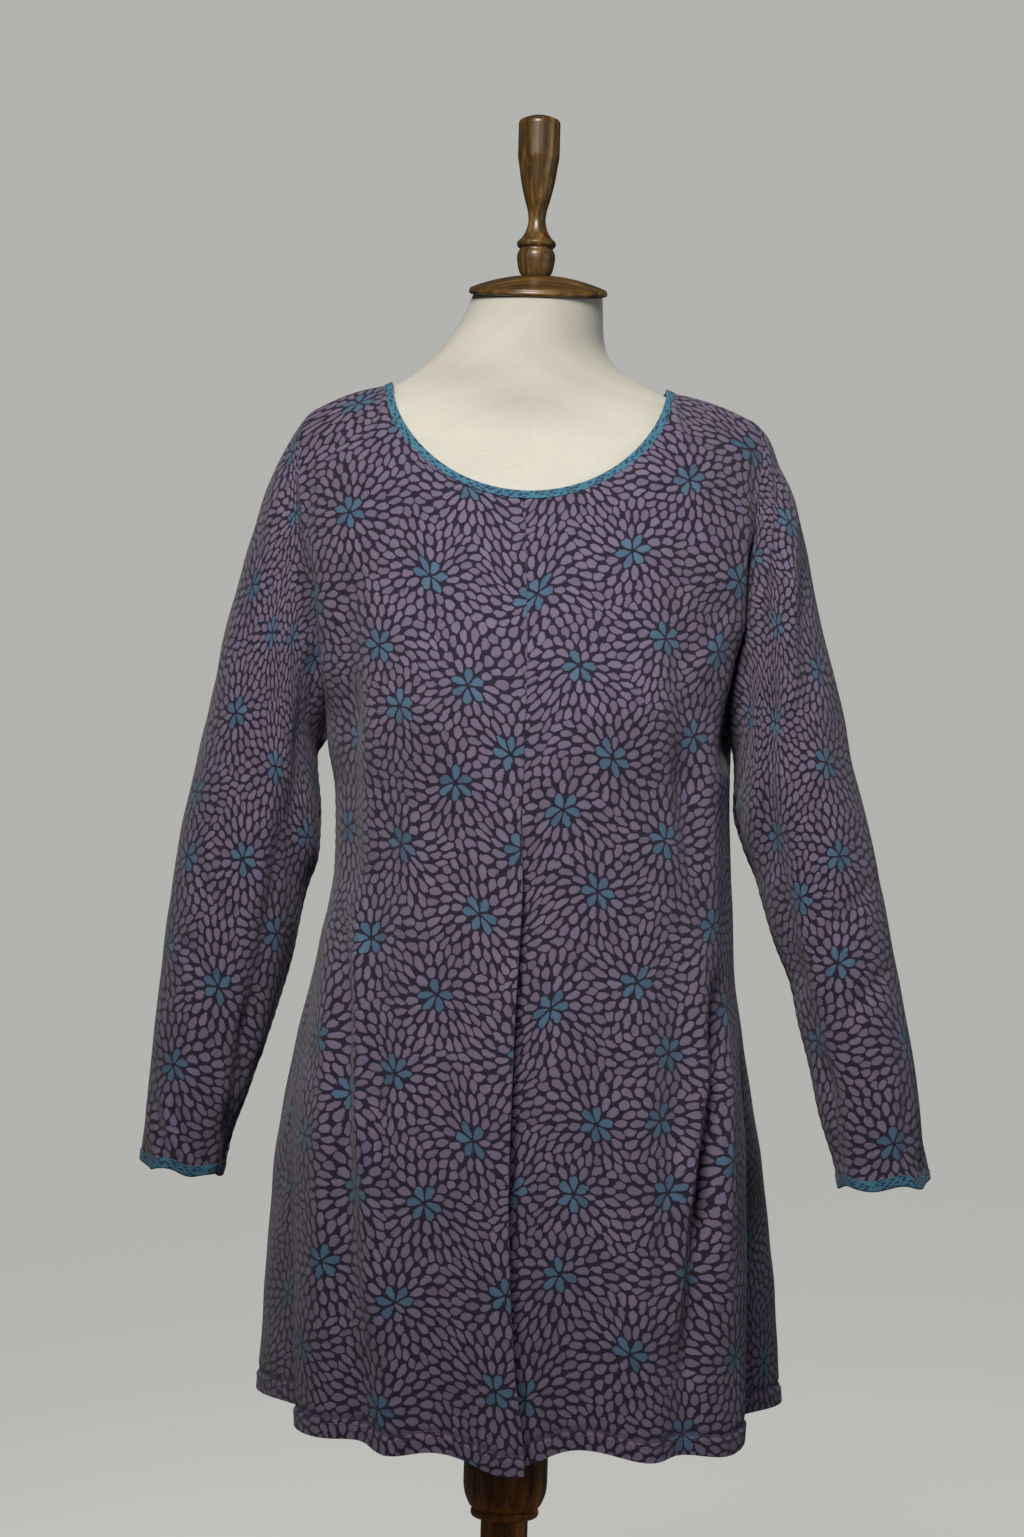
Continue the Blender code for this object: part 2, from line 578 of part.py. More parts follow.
def stand(collection):
    up = np.array([0.0, -math.sin(math.radians(NECK_TILT)), math.cos(math.radians(NECK_TILT))])
    dome_radius = (CAP_RADIUS**2 + CAP_DOME**2) / (2 * CAP_DOME)
    widest = math.degrees(math.asin((CAP_RADIUS - 0.001) / dome_radius))
    dome = arc((0, CAP_RIM + CAP_DOME - dome_radius), dome_radius, 90, 90 - widest, 7)
    dome[0] = (0, CAP_RIM + CAP_DOME)
    cap = dome + [(CAP_RADIUS, CAP_RIM - 0.0006), (CAP_RADIUS, 0.0008), (CAP_RADIUS - 0.0008, 0), (0, 0)]
    turned("neck_cap", cap, collection, np.array(CAP_CENTRE) + up * GAP, NECK_TILT)

    apex = np.array(CAP_CENTRE) + up * (GAP + CAP_RIM + CAP_DOME)
    seat = 0.0070  # radius of the finial's foot
    foot = (seat * math.tan(math.radians(NECK_TILT)) * 0.9) + GAP
    knob = [(0, 0.1325)] + arc((0, 0.0915), 0.041, 80, 67, 2) + [(0.0172, 0.1270)]
    knob += [(0.0173, 0.0995), (0.0160, 0.0900), (0.0140, 0.0770), (0.0105, 0.0620), (0.0078, 0.0520)]
    knob += [(0.0071, 0.0455), (0.0085, 0.0380), (0.0125, 0.0305), (0.0155, 0.0272), (0.0163, 0.0255)]
    knob += [(0.0160, 0.0232), (0.0138, 0.0214), (0.0140, 0.0200), (0.0156, 0.0160), (0.0158, 0.0120)]
    knob += [(0.0144, 0.0070), (0.0118, 0.0030), (seat, 0), (0, 0)]
    turned("finial", knob, collection, (FINIAL_X, apex[1], apex[2] + foot), steps=24)

    top = TORSO_BOTTOM - GAP
    drum = [(0, top), (DRUM_RADIUS - 0.002, top), (DRUM_RADIUS, top - 0.002), (DRUM_RADIUS, 0.4930)]
    drum += [(0.0342, 0.4850), (0.0318, 0.4775), (0.0285, 0.4722), (0.0270, 0.4706), (0.0282, 0.4692)]
    drum += [(0.0282, 0.4655), (0.0264, DRUM_BOTTOM), (0, DRUM_BOTTOM)]
    turned("stand_drum", drum, collection)

    pole_top, pole_foot = DRUM_BOTTOM - GAP, BASE_HEIGHT + GAP
    pole = [(0, pole_top), (POLE_RADIUS - 0.001, pole_top), (POLE_RADIUS, pole_top - 0.001)]
    pole += [(POLE_RADIUS, pole_foot), (0, pole_foot)]
    turned("stand_pole", pole, collection, steps=24)

    round_edge = 0.008
    base = [(0, BASE_HEIGHT), (0.045, BASE_HEIGHT), (0.055, BASE_HEIGHT - 0.006)]
    base += [(BASE_RADIUS - round_edge, BASE_HEIGHT - 0.014)]
    base += arc((BASE_RADIUS - round_edge, BASE_HEIGHT - 0.014 - round_edge), round_edge, 60, 0, 3)
    base += [(BASE_RADIUS, 0.002), (BASE_RADIUS - 0.002, 0), (0, 0)]
    turned("stand_base", base, collection, steps=40)


def main():
    for obj in list(bpy.data.objects):
        bpy.data.objects.remove(obj)
    collection = bpy.data.collections.new("a_line_dress_on_form")
    bpy.context.scene.collection.children.link(collection)
    front_panel("front_left", -1, collection)
    front_panel("front_right", 1, collection)
    pleat_underlay(collection)
    back_panel(collection)
    sleeve("sleeve_left", -1, SLEEVE_LEFT, collection)
    sleeve("sleeve_right", 1, SLEEVE_RIGHT, collection)
    neck_binding(collection)
    cuff_binding("cuff_binding_left", -1, SLEEVE_LEFT, collection)
    cuff_binding("cuff_binding_right", 1, SLEEVE_RIGHT, collection)
    torso(collection)
    stand(collection)


main()
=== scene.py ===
# The looks of an a-line dress in printed jersey on a limbless dress form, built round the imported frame.
# Metres, +Z up, the dress's front towards -Y. Left and right are the viewer's. The dress and the form follow
# the same sections, folds and edges as the frame's solids, on finer grids, with creases and seams added.

import math

import bmesh
import bpy
import numpy as np
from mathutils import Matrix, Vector


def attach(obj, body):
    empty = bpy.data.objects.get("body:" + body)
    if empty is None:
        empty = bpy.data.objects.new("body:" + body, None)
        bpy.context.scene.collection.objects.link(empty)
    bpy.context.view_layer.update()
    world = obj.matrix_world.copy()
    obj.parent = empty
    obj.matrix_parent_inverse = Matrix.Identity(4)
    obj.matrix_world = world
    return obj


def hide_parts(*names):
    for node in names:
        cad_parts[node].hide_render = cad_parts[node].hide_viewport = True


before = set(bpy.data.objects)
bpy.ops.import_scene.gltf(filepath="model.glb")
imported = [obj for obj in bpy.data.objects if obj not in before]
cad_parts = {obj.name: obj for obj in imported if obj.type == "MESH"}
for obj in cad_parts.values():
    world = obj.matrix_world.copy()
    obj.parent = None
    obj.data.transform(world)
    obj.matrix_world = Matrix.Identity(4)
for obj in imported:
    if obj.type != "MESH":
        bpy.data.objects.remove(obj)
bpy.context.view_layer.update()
print("frame loaded:", len(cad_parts), "nodes")


# Small tools for numbers
def table(names, *rows, per=1):
    """Columns by name from rows of numbers, divided by per, which is 1000 for a table in millimetres."""
    return dict(zip(names.split(), np.array(rows, float).T / per))


def unit(vectors):
    return vectors / np.maximum(np.linalg.norm(vectors, axis=-1, keepdims=True), 1e-12)


def ramp(value):  # 3v^2 - 2v^3 between 0 and 1
    value = np.clip(value, 0, 1)
    return value * value * (3 - 2 * value)


def bell(value):  # exp(-v^2)
    return np.exp(-np.square(value))


def lengths(points, axis):
    """Length along the grid lines from the first point: the running sum of the steps."""
    step = np.linalg.norm(np.diff(points, axis=axis), axis=-1)
    start = np.zeros_like(np.take(step, [0], axis=axis))
    return np.concatenate([start, np.cumsum(step, axis=axis)], axis=axis)


def alongLine(at, long, line):
    """The line's points, whose lengths from its start are long, read at other lengths."""
    return np.stack([np.interp(at, long, line[:, k]) for k in range(3)], axis=1)


def spaced(first, last, count, tightFirst=0.0, tightLast=0.0, reach=0.02):
    """Places from first to last, closer near an end by (1 + tight): the running sum of 1 / density."""
    share = np.linspace(0, 1, 400)
    density = 1 + tightFirst * bell(share / reach) + tightLast * bell((1 - share) / reach)
    total = np.append(0, np.cumsum((density[1:] + density[:-1]) / 2))
    return first + (last - first) * np.interp(np.linspace(0, total[-1], count), total, share)


def smooth(knots, values, at):
    """A curve through values at knots. Each slope is the harmonic mean of its neighbours', so that it never
    overshoots."""
    step = np.diff(knots).reshape(-1, *[1] * (values.ndim - 1))
    slope = np.diff(values, axis=0) / step
    before, after = slope[:-1], slope[1:]
    sameWay = before * after > 0
    total = np.where(sameWay, before + after, 1.0)
    tangent = np.concatenate([slope[:1], np.where(sameWay, 2 * before * after / total, 0.0), slope[-1:]])
    i = np.clip(np.searchsorted(knots, at, "right") - 1, 0, len(knots) - 2)
    width = step[i]
    f = ((at - knots[i]) / np.diff(knots)[i]).reshape(width.shape)
    start = values[i] * (1 + 2 * f) * (1 - f) ** 2 + tangent[i] * width * f * (1 - f) ** 2
    return start + values[i + 1] * (3 - 2 * f) * f**2 + tangent[i + 1] * width * (f - 1) * f**2


def waves(u, v, count, shortest, longest, stretch, seed):
    """Soft unevenness from -1 to 1: the mean of sine waves of many lengths and ways over (u, v / stretch)."""
    random = np.random.default_rng(seed)
    total = np.zeros(np.broadcast(u, v).shape)
    for _ in range(count):
        turn, phase = random.uniform(0, 2 * np.pi, 2)
        pitch = random.uniform(shortest, longest)
        total += np.sin((u * math.cos(turn) + v / stretch * math.sin(turn)) * 2 * np.pi / pitch + phase)
    return total / math.sqrt(count) / 1.6


# Small tools for meshes and materials
def gridQuads(rows, columns, turned=False, closed=False):
    i, j = np.mgrid[: rows - 1, : columns if closed else columns - 1]
    here, there = i * columns + j, i * columns + (j + 1) % columns
    quads = np.stack([here, there, there + columns, here + columns], axis=-1).reshape(-1, 4)
    return quads[:, ::-1] if turned else quads


def gridNormals(points):
    return unit(np.cross(np.gradient(points, axis=1), np.gradient(points, axis=0)))


def revolved(profile, count):
    """Rings of points: (radius, z) pairs carried round the z axis."""
    turn = np.linspace(0, 2 * np.pi, count, endpoint=False)
    radius, z = profile[:, :1], profile[:, 1:]
    return np.stack([radius * np.cos(turn), radius * np.sin(turn), z + 0 * turn], axis=-1)


def pointNormals(points, quads):
    """The normal at each point: the sum of the cross products of its faces' diagonals."""
    cross = np.cross(points[quads[:, 2]] - points[quads[:, 0]], points[quads[:, 3]] - points[quads[:, 1]])
    normal = np.zeros_like(points)
    for corner in range(4):
        np.add.at(normal, quads[:, corner], cross)
    return unit(normal)


def meshObject(name, points, faces, materials, uv=None, sharpAngle=50):
    mesh = bpy.data.meshes.new(name)
    mesh.from_pydata(points.reshape(-1, 3).tolist(), [], [list(face) for face in faces])
    for material in materials:
        mesh.materials.append(material)
    if uv is not None:
        layer = mesh.uv_layers.new(name="Cloth")
        corners = np.concatenate([np.asarray(face) for face in faces])
        layer.data.foreach_set("uv", uv.reshape(-1, 2)[corners].astype(np.float32).ravel())
    mesh.shade_smooth()
    mesh.set_sharp_from_angle(angle=math.radians(sharpAngle))
    piece = bpy.data.objects.new(name, mesh)
    bpy.context.scene.collection.objects.link(piece)
    return piece


def colour(code):
    """An sRGB hex value as linear light: v / 12.92 up to 0.04045, and ((v + 0.055) / 1.055) ^ 2.4 above."""
    value = np.array([int(code[i : i + 2], 16) / 255 for i in (1, 3, 5)])
    return (*np.where(value <= 0.04045, value / 12.92, ((value + 0.055) / 1.055) ** 2.4), 1.0)


def add(tree, kind, inputs=None, out=0, **settings):
    """Adds a shader node with its settings, links or values, and gives back one of its outputs."""
    node = tree.nodes.new("ShaderNode" + kind)
    for key, value in settings.items():
        setattr(node, key, value)
    for key, value in (inputs or {}).items():
        if isinstance(value, bpy.types.NodeSocket):
            tree.links.new(value, node.inputs[key])
        else:
            node.inputs[key].default_value = value
    return node.outputs[out]


waveTurns = 3.18  # bands that a wave texture of scale 1 has to a metre


def newMaterial(name, **shaderValues):
    material = bpy.data.materials.new(name)
    material.use_nodes = True
    tree = material.node_tree
    shader = tree.nodes["Principled BSDF"]
    for key, value in shaderValues.items():
        shader.inputs[key.replace("_", " ")].default_value = value
    return material, tree, shader


# Camera, where the photograph's proportions put it, level and looking along +Y
view = dict(place=(-0.0105, -2.9, 1.0862), lens=81.5, roll=1.55)
cameraData = bpy.data.cameras.new("camera")
cameraData.lens, cameraData.sensor_width = view["lens"], 36
camera = bpy.data.objects.new("camera", cameraData)
camera.location = view["place"]
camera.rotation_euler = (math.radians(90), -math.radians(view["roll"]), 0)
bpy.context.scene.collection.objects.link(camera)
bpy.context.scene.camera = camera
bpy.context.scene.view_settings.view_transform = "Standard"

# Stage: one pale dish, whose floor curves up into a wall all round, so every view has the same backdrop
stageLook = dict(radius=11.0, flat=2.0, bend=3.5, height=9.0, columns=128, paint="#d6d6d2", glow=0.62)
turn = np.linspace(0, np.pi / 2, 24)
bend = np.stack([np.sin(turn) - 1, 1 - np.cos(turn)], axis=1) * stageLook["bend"] + (stageLook["radius"], 0)
flat, wall = [[1e-4, 0], [stageLook["flat"], 0]], [[stageLook["radius"], stageLook["height"]]]
dish = np.concatenate([flat, bend, wall])
paint, _, paintShader = newMaterial("matt painted studio wall", Roughness=0.95)
paintShader.inputs["Base Color"].default_value = colour(stageLook["paint"])
paintShader.inputs["Emission Color"].default_value = colour(stageLook["paint"])
paintShader.inputs["Emission Strength"].default_value = stageLook["glow"]
dishQuads = gridQuads(len(dish), stageLook["columns"], closed=True)
floor = meshObject("studioFloor", revolved(dish, stageLook["columns"]), dishQuads, [paint])
floor.visible_diffuse = floor.visible_glossy = floor.visible_shadow = False  # so it lights nothing

# Lights: a large soft one high in front, brighter on the chest than on the hem, and a pale sky for fill
lights = dict(
    key=dict(place=(-0.34, -1.70, 2.50), aim=(0.06, -0.05, 1.09), size=0.7, spread=52, power=6.6),
    side=dict(place=(2.3, -1.2, 1.6), aim=(0.25, 0, 1.0), size=1.0, spread=80, power=1.9),
    back=dict(place=(0.60, 2.3, 1.5), aim=(0, 0, 1.0), size=1.0, spread=64, power=9),
)
lampTints = dict(key="#fffcf8", side="#f4f7ff", back="#ffffff")
sky = dict(tint="#f2f4f7", strength=0.052)
for name, look in lights.items():
    data = bpy.data.lights.new(name, "AREA")
    data.energy, data.size, data.color = look["power"], look["size"], colour(lampTints[name])[:3]
    data.spread = math.radians(look["spread"])
    lamp = bpy.data.objects.new(name, data)
    lamp.location = look["place"]
    lamp.visible_glossy = name != "back"  # it lights the back without glare on the cap's top
    aim = Vector(look["aim"]) - Vector(look["place"])
    lamp.rotation_euler = aim.to_track_quat("-Z", "Y").to_euler()
    bpy.context.scene.collection.objects.link(lamp)
world = bpy.data.worlds.new("studio sky")
world.use_nodes = True
world.node_tree.nodes["Background"].inputs["Color"].default_value = colour(sky["tint"])
world.node_tree.nodes["Background"].inputs["Strength"].default_value = sky["strength"]
bpy.context.scene.world = world
print("camera, stage and lights ready")


# The print: small flowers with rings of petals round them, laid out afresh on a tile that repeats
printLook = dict(
    tile=0.32,  # metres before the layout repeats
    flowers=18,
    around=6,  # petals round a flower's middle, of which 5 or 6 are teal
    rings=(0.0073, 0.0190, 0.0300, 0.0410, 0.0520),  # radius of each ring of petals
    tealSize=(0.0067, 0.0042),  # half length and half width
    plainRadius=0.0110,  # where a petal of the first ring that isn't teal moves out to
    pitch=0.0087,  # along a ring
    turnJitter=(0.09, 0.03),  # radians in the first ring and in the others
    radiusJitter=0.0004,
    closest=0.0058,  # petals nearer than this lose one
    emptiest=0.0071,  # a spot further than this from every petal gets one
    longer=1.32,  # how much longer than wide a petal's share of cloth is
    grown=1.74,  # half a petal's size over the deviation of its share of cloth
    smallest=(0.0042, 0.0026),
    largest=(0.0085, 0.0050),
    grid=0.0016,  # between the spots that stand for the cloth while petals find their share of it
    seed=41,
)


def wrapped(offset):
    return offset - printLook["tile"] * np.round(offset / printLook["tile"])


def spread(places, ways, spots, longer):
    """Offsets from petals to spots, along and across each petal, and how far that is for its oval share."""
    offset = wrapped(spots[:, None] - places[None])
    along = (offset * ways).sum(axis=-1)
    side = offset[..., 0] * ways[:, 1] - offset[..., 1] * ways[:, 0]
    return offset, along, side, (along / longer) ** 2 + (side * longer) ** 2


def layPrint():
    """Petals of one tile: places, ways, half lengths, half widths and codes, over 1 for a teal petal."""
    look, random = printLook, np.random.default_rng(printLook["seed"])
    centres = random.uniform(0, look["tile"], (1, 2))
    for _ in range(1, look["flowers"]):  # each flower takes the emptiest of many random spots
        tries = random.uniform(0, look["tile"], (240, 2))
        away = np.linalg.norm(wrapped(tries[:, None] - centres[None]), axis=-1).min(axis=1)
        centres = np.append(centres, tries[[away.argmax()]], axis=0)
    places, rings, teal = [], [], []
    for ring, radius in enumerate(look["rings"]):
        count = look["around"] if ring == 0 else round(2 * np.pi * radius / look["pitch"])
        turns = np.arange(count) * 2 * np.pi / count + random.uniform(0, 2 * np.pi, (look["flowers"], 1))
        turns = turns + random.normal(0, look["turnJitter"][ring > 0], turns.shape)
        isTeal = np.zeros(turns.shape, bool)
        radii = radius + random.normal(0, look["radiusJitter"], turns.shape)
        if ring == 0:
            order = random.permuted(np.tile(np.arange(count), (look["flowers"], 1)), axis=1)
            isTeal = order < random.integers(5, count + 1, (look["flowers"], 1))
            radii = np.where(isTeal, radii, look["plainRadius"])
        around = radii[..., None] * np.stack([np.cos(turns), np.sin(turns)], axis=-1)
        spot = (centres[:, None] + around).reshape(-1, 2)
        nearest = np.linalg.norm(wrapped(spot[:, None] - centres[None]), axis=-1).argmin(axis=1)
        kept = nearest == np.repeat(np.arange(look["flowers"]), count)
        places.append(spot[kept])
        rings.append(np.full(kept.sum(), ring))
        teal.append(isTeal.ravel()[kept])
    places, rings, teal = np.concatenate(places), np.concatenate(rings), np.concatenate(teal)
    near = np.linalg.norm(wrapped(places[:, None] - places[None]), axis=-1) < look["closest"]
    kept = ~(near & np.tri(len(places), k=-1, dtype=bool)).any(axis=1) | (rings == 0)
    places, rings, teal = places[kept], rings[kept], teal[kept]
    side = np.arange(0, look["tile"], look["grid"])
    spots = np.stack(np.meshgrid(side, side), axis=-1).reshape(-1, 2)
    away = np.full(len(spots), 1.0)
    for place in places:
        away = np.minimum(away, np.linalg.norm(wrapped(spots - place), axis=-1))
    while away.max() > look["emptiest"]:
        place = spots[away.argmax()]
        places = np.append(places, place[None], axis=0)
        away = np.minimum(away, np.linalg.norm(wrapped(spots - place), axis=-1))
    rings = np.append(rings, np.full(len(places) - len(rings), 9))
    teal = np.append(teal, np.zeros(len(places) - len(teal), bool))
    for step in range(5):  # petals ease apart: each moves towards the middle of its own share of cloth
        out = wrapped(places[:, None] - centres[None])
        nearest = np.linalg.norm(out, axis=-1).argmin(axis=1)
        ways = unit(out[np.arange(len(places)), nearest])
        owner, held = [], []
        for part in np.array_split(spots, 24):
            offset, along, across, far = spread(places, ways, part, look["longer"])
            mine = far.argmin(axis=1)
            pick = np.arange(len(part)), mine
            owner.append(mine)
            held.append(np.stack([offset[pick][:, 0], offset[pick][:, 1], along[pick], across[pick]], axis=1))
        owner, held = np.concatenate(owner), np.concatenate(held)
        count = np.maximum(np.bincount(owner, minlength=len(places)), 1)
        total = np.stack([np.bincount(owner, held[:, k], len(places)) for k in range(4)], axis=1)
        mean = total / count[:, None]
        square = np.stack([np.bincount(owner, held[:, k] ** 2, len(places)) for k in (2, 3)], axis=1)
        deviation = np.sqrt(np.maximum(square / count[:, None] - mean[:, 2:] ** 2, 1e-8))
        move = np.where(teal, 0.15, np.where(rings == 0, 0.4, 0.75))[:, None]
        places = places + mean[:, :2] * (move if step < 4 else np.maximum(move, 0.9))
    size = np.clip(look["grown"] * deviation, look["smallest"], look["largest"])
    size = np.where(teal[:, None], look["tealSize"], size)
    return places, ways, size[:, 0], size[:, 1], teal + random.uniform(0.03, 0.97, len(places))


petals = layPrint()
print("print laid out:", len(petals[0]), "petals to a tile,", int((petals[4] > 1).sum()), "of them teal")


def nearestPetals(spots):
    """For each spot the 4 petals that lie nearest by their own size, as two triples each: the petal's place
    and its length over its width, then its way over its half length and its code."""
    places, ways, long, wide, code = petals
    triples = np.empty((len(spots), 4, 6))
    for first in range(0, len(spots), 2500):  # a few at a time, for the memory
        part, mine = spots[first : first + 2500], triples[first : first + 2500]
        offset, along, side, _ = spread(places, ways, part, 1.0)
        far = (along / long) ** 2 + (side / wide) ** 2
        best = np.argpartition(far, 4, axis=1)[:, :4]
        rows = np.arange(len(part))[:, None]
        mine[..., :2] = part[:, None] - offset[rows, best]
        mine[..., 2] = (long / wide)[best]
        mine[..., 3:5] = (ways / long[:, None])[best]
        mine[..., 5] = code[best]
    return triples


# Cotton single jersey, printed and washed: matt, faint upright ribs of knit, and ink that has faded unevenly
jerseyLook = dict(
    ground="#1a1326",  # the colours of the inks, dark and pale where one mottles into the other
    lilac="#564e61",
    lilacPale="#6e6579",
    teal="#324c5e",
    tealPale="#4c697f",
    rimTint=(1.02, 0.90, 0.98),  # what the rim of a petal is multiplied by
    line=0.13,  # half the ground's line between two petals, in half widths of a petal
    # the colour of the painted shade along the hem's stitch groove, a darker purple
    hemShadeLine="#3a2a48",
    reverse="#4a4254",  # the knit's own colour, seen on its back
    wander=0.0016,  # how far noise may move the print's edges, of which about a third of a millimetre shows
    # Sizes of the noises, as so many to a metre
    wanders=260.0,  # 4 mm, the unevenness of a printed edge
    mottles=420.0,  # 2.4 mm, where the ink took unevenly
    fades=14.0,  # 70 mm, from washing and wear
    fuzz=900.0,  # 1.1 mm, loose fibres
    ribs=0.0016,  # real ribs are 0.8 mm, drawn at twice that so that they show
)


def jerseyMaterial(name, reverse=False):
    look = jerseyLook
    material, tree, shader = newMaterial(name, Roughness=0.88, Sheen_Weight=0.10, Sheen_Roughness=0.6)
    shader.inputs["Specular IOR Level"].default_value = 0.25
    cloth = add(tree, "UVMap", uv_map="Cloth")
    # The print's edges wander, as ink does on knit
    wander = add(tree, "TexNoise", {"Vector": cloth, "Scale": look["wanders"], "Detail": 1.0}, out=1)
    wander = add(tree, "VectorMath", {0: wander, 1: (0.5, 0.5, 0.5)}, operation="SUBTRACT")
    reach = (look["wander"], look["wander"], 0)
    spot = add(tree, "VectorMath", {0: wander, 1: reach, 2: cloth}, operation="MULTIPLY_ADD")
    best, second, code = None, None, None
    for k in range(4):
        place = add(tree, "Attribute", out=1, attribute_name=f"petalPlace{k}")
        way = add(tree, "Attribute", out=1, attribute_name=f"petalWay{k}")
        offset = add(tree, "VectorMath", {0: spot, 1: place}, operation="SUBTRACT")
        offset = add(tree, "SeparateXYZ", {0: offset})
        x, y, slim = offset.node.outputs
        wx, wy, tint = add(tree, "SeparateXYZ", {0: way}).node.outputs
        # s runs along the petal from its point at -1 to its round end at 1, and t across it in half lengths
        s = add(tree, "Math", {0: x, 1: wx}, operation="MULTIPLY")
        s = add(tree, "Math", {0: y, 1: wy, 2: s}, operation="MULTIPLY_ADD")
        t = add(tree, "Math", {0: y, 1: wx}, operation="MULTIPLY")
        across = add(tree, "Math", {0: x, 1: wy}, operation="MULTIPLY")
        t = add(tree, "Math", {0: across, 1: t}, operation="SUBTRACT")
        t = add(tree, "Math", {0: t, 1: slim}, operation="MULTIPLY")
        t = add(tree, "Math", {0: t}, operation="ABSOLUTE")
        t = add(tree, "Math", {0: t, 1: -1.0}, operation="MULTIPLY")
        # half width at s: 0.93 (1 - s)^0.5 (1 + s)^0.8
        head = add(tree, "Math", {0: 1.0, 1: s}, operation="SUBTRACT")
        head = add(tree, "Math", {0: head}, operation="SQRT")
        tail = add(tree, "Math", {0: 1.0, 1: s}, operation="ADD")
        tail = add(tree, "Math", {0: tail, 1: 0.8}, operation="POWER")
        wide = add(tree, "Math", {0: head, 1: tail}, operation="MULTIPLY")
        inside = add(tree, "Math", {0: wide, 1: 0.93, 2: t}, operation="MULTIPLY_ADD")
        if best is None:
            best, second, code = inside, -9.0, tint
            continue
        closer = add(tree, "Math", {0: inside, 1: best}, operation="GREATER_THAN")
        runnerUp = add(tree, "Math", {0: inside, 1: best}, operation="MINIMUM")
        second = add(tree, "Math", {0: runnerUp, 1: second, 2: 0.30}, operation="SMOOTH_MAX")
        best = add(tree, "Math", {0: inside, 1: best}, operation="MAXIMUM")
        code = add(tree, "Mix", {0: closer, 2: code, 3: tint})
    # The ground shows outside the petals and as a line of even width between two that touch
    between = add(tree, "Math", {0: best, 1: second}, operation="SUBTRACT")
    between = add(tree, "Math", {0: between, 1: 0.5, 2: -look["line"]}, operation="MULTIPLY_ADD")
    inner = add(tree, "Math", {0: best, 1: between, 2: 0.40}, operation="SMOOTH_MIN")
    ink = add(tree, "MapRange", {0: inner, 1: 0.0, 2: 0.13}, interpolation_type="SMOOTHSTEP")
    rim = add(tree, "MapRange", {0: inner, 1: 0.1, 2: 0.5})
    isTeal = add(tree, "Math", {0: code, 1: 1.0}, operation="GREATER_THAN")
    tint = add(tree, "Math", {0: code}, operation="FRACT")
    mottle = {"Vector": cloth, "Scale": look["mottles"], "Detail": 3.0, "Roughness": 0.6}
    mottle = add(tree, "TexNoise", mottle)
    broad = add(tree, "TexNoise", {"Vector": cloth, "Scale": look["fades"], "Detail": 2.0})
    tint = add(tree, "Math", {0: tint, 1: 0.55}, operation="MULTIPLY")
    tint = add(tree, "Math", {0: mottle, 1: 0.75, 2: tint}, operation="MULTIPLY_ADD")
    tint = add(tree, "Math", {0: tint, 1: -0.14}, operation="ADD", use_clamp=True)
    lilac, teal = (
        add(tree, "Mix", {0: tint, 6: colour(look[ink]), 7: colour(look[ink + "Pale"])}, 2, data_type="RGBA")
        for ink in ("lilac", "teal")
    )
    petal = add(tree, "Mix", {0: isTeal, 6: lilac, 7: teal}, 2, data_type="RGBA")
    # Two inks overlap a little out of line, so a petal is pinker near its edge and greyer in its middle
    pink = add(tree, "VectorMath", {0: petal, 1: look["rimTint"]}, operation="MULTIPLY")
    petal = add(tree, "Mix", {0: rim, 6: pink, 7: petal}, 2, data_type="RGBA")
    # Worn ink lets a little of the ground through
    worn = add(tree, "MapRange", {0: mottle, 1: 0.42, 2: 0.75, 3: 1.0, 4: 0.80})
    ink = add(tree, "Math", {0: ink, 1: worn}, operation="MULTIPLY")
    base = add(tree, "Mix", {0: ink, 6: colour(look["ground"]), 7: petal}, 2, data_type="RGBA")
    shade = add(tree, "MapRange", {0: broad, 1: 0.3, 2: 0.7, 3: 0.93, 4: 1.07})
    base = add(tree, "VectorMath", {0: base, "Scale": shade}, operation="SCALE")
    # Painted shade: the cloth turns a darker purple along the hem's stitches, where the groove is
    sewn = add(tree, "Attribute", out=2, attribute_name="sewn")
    base = add(tree, "Mix", {0: sewn, 6: base, 7: colour(look["hemShadeLine"])}, 2, data_type="RGBA")
    if reverse:  # the print shows through the knit, paler and greyer
        base = add(tree, "Mix", {0: 0.62, 6: base, 7: colour(look["reverse"])}, 2, data_type="RGBA")
    tree.links.new(base, shader.inputs["Base Color"])
    # Knit: upright ribs broken by the stitches, and a little fuzz
    stretched = add(tree, "Mapping", {0: cloth, 3: (1.0, 0.72, 1.0)})
    wave = {"Vector": stretched, "Scale": 1 / look["ribs"] / waveTurns, "Distortion": 1.6}
    ribs = add(tree, "TexWave", wave | {"Detail": 2.0, "Detail Scale": 3.0}, out=1)
    fuzz = add(tree, "TexNoise", {"Vector": cloth, "Scale": look["fuzz"], "Detail": 2.0})
    height = add(tree, "Math", {0: fuzz, 1: 0.7, 2: ribs}, operation="MULTIPLY_ADD")
    bump = add(tree, "Bump", {"Strength": 0.35, "Distance": 0.0004, "Height": height})
    tree.links.new(bump, shader.inputs["Normal"])
    return material


jersey = jerseyMaterial("cotton jersey, printed")
jerseyReverse = jerseyMaterial("cotton jersey, reverse of the print", reverse=True)


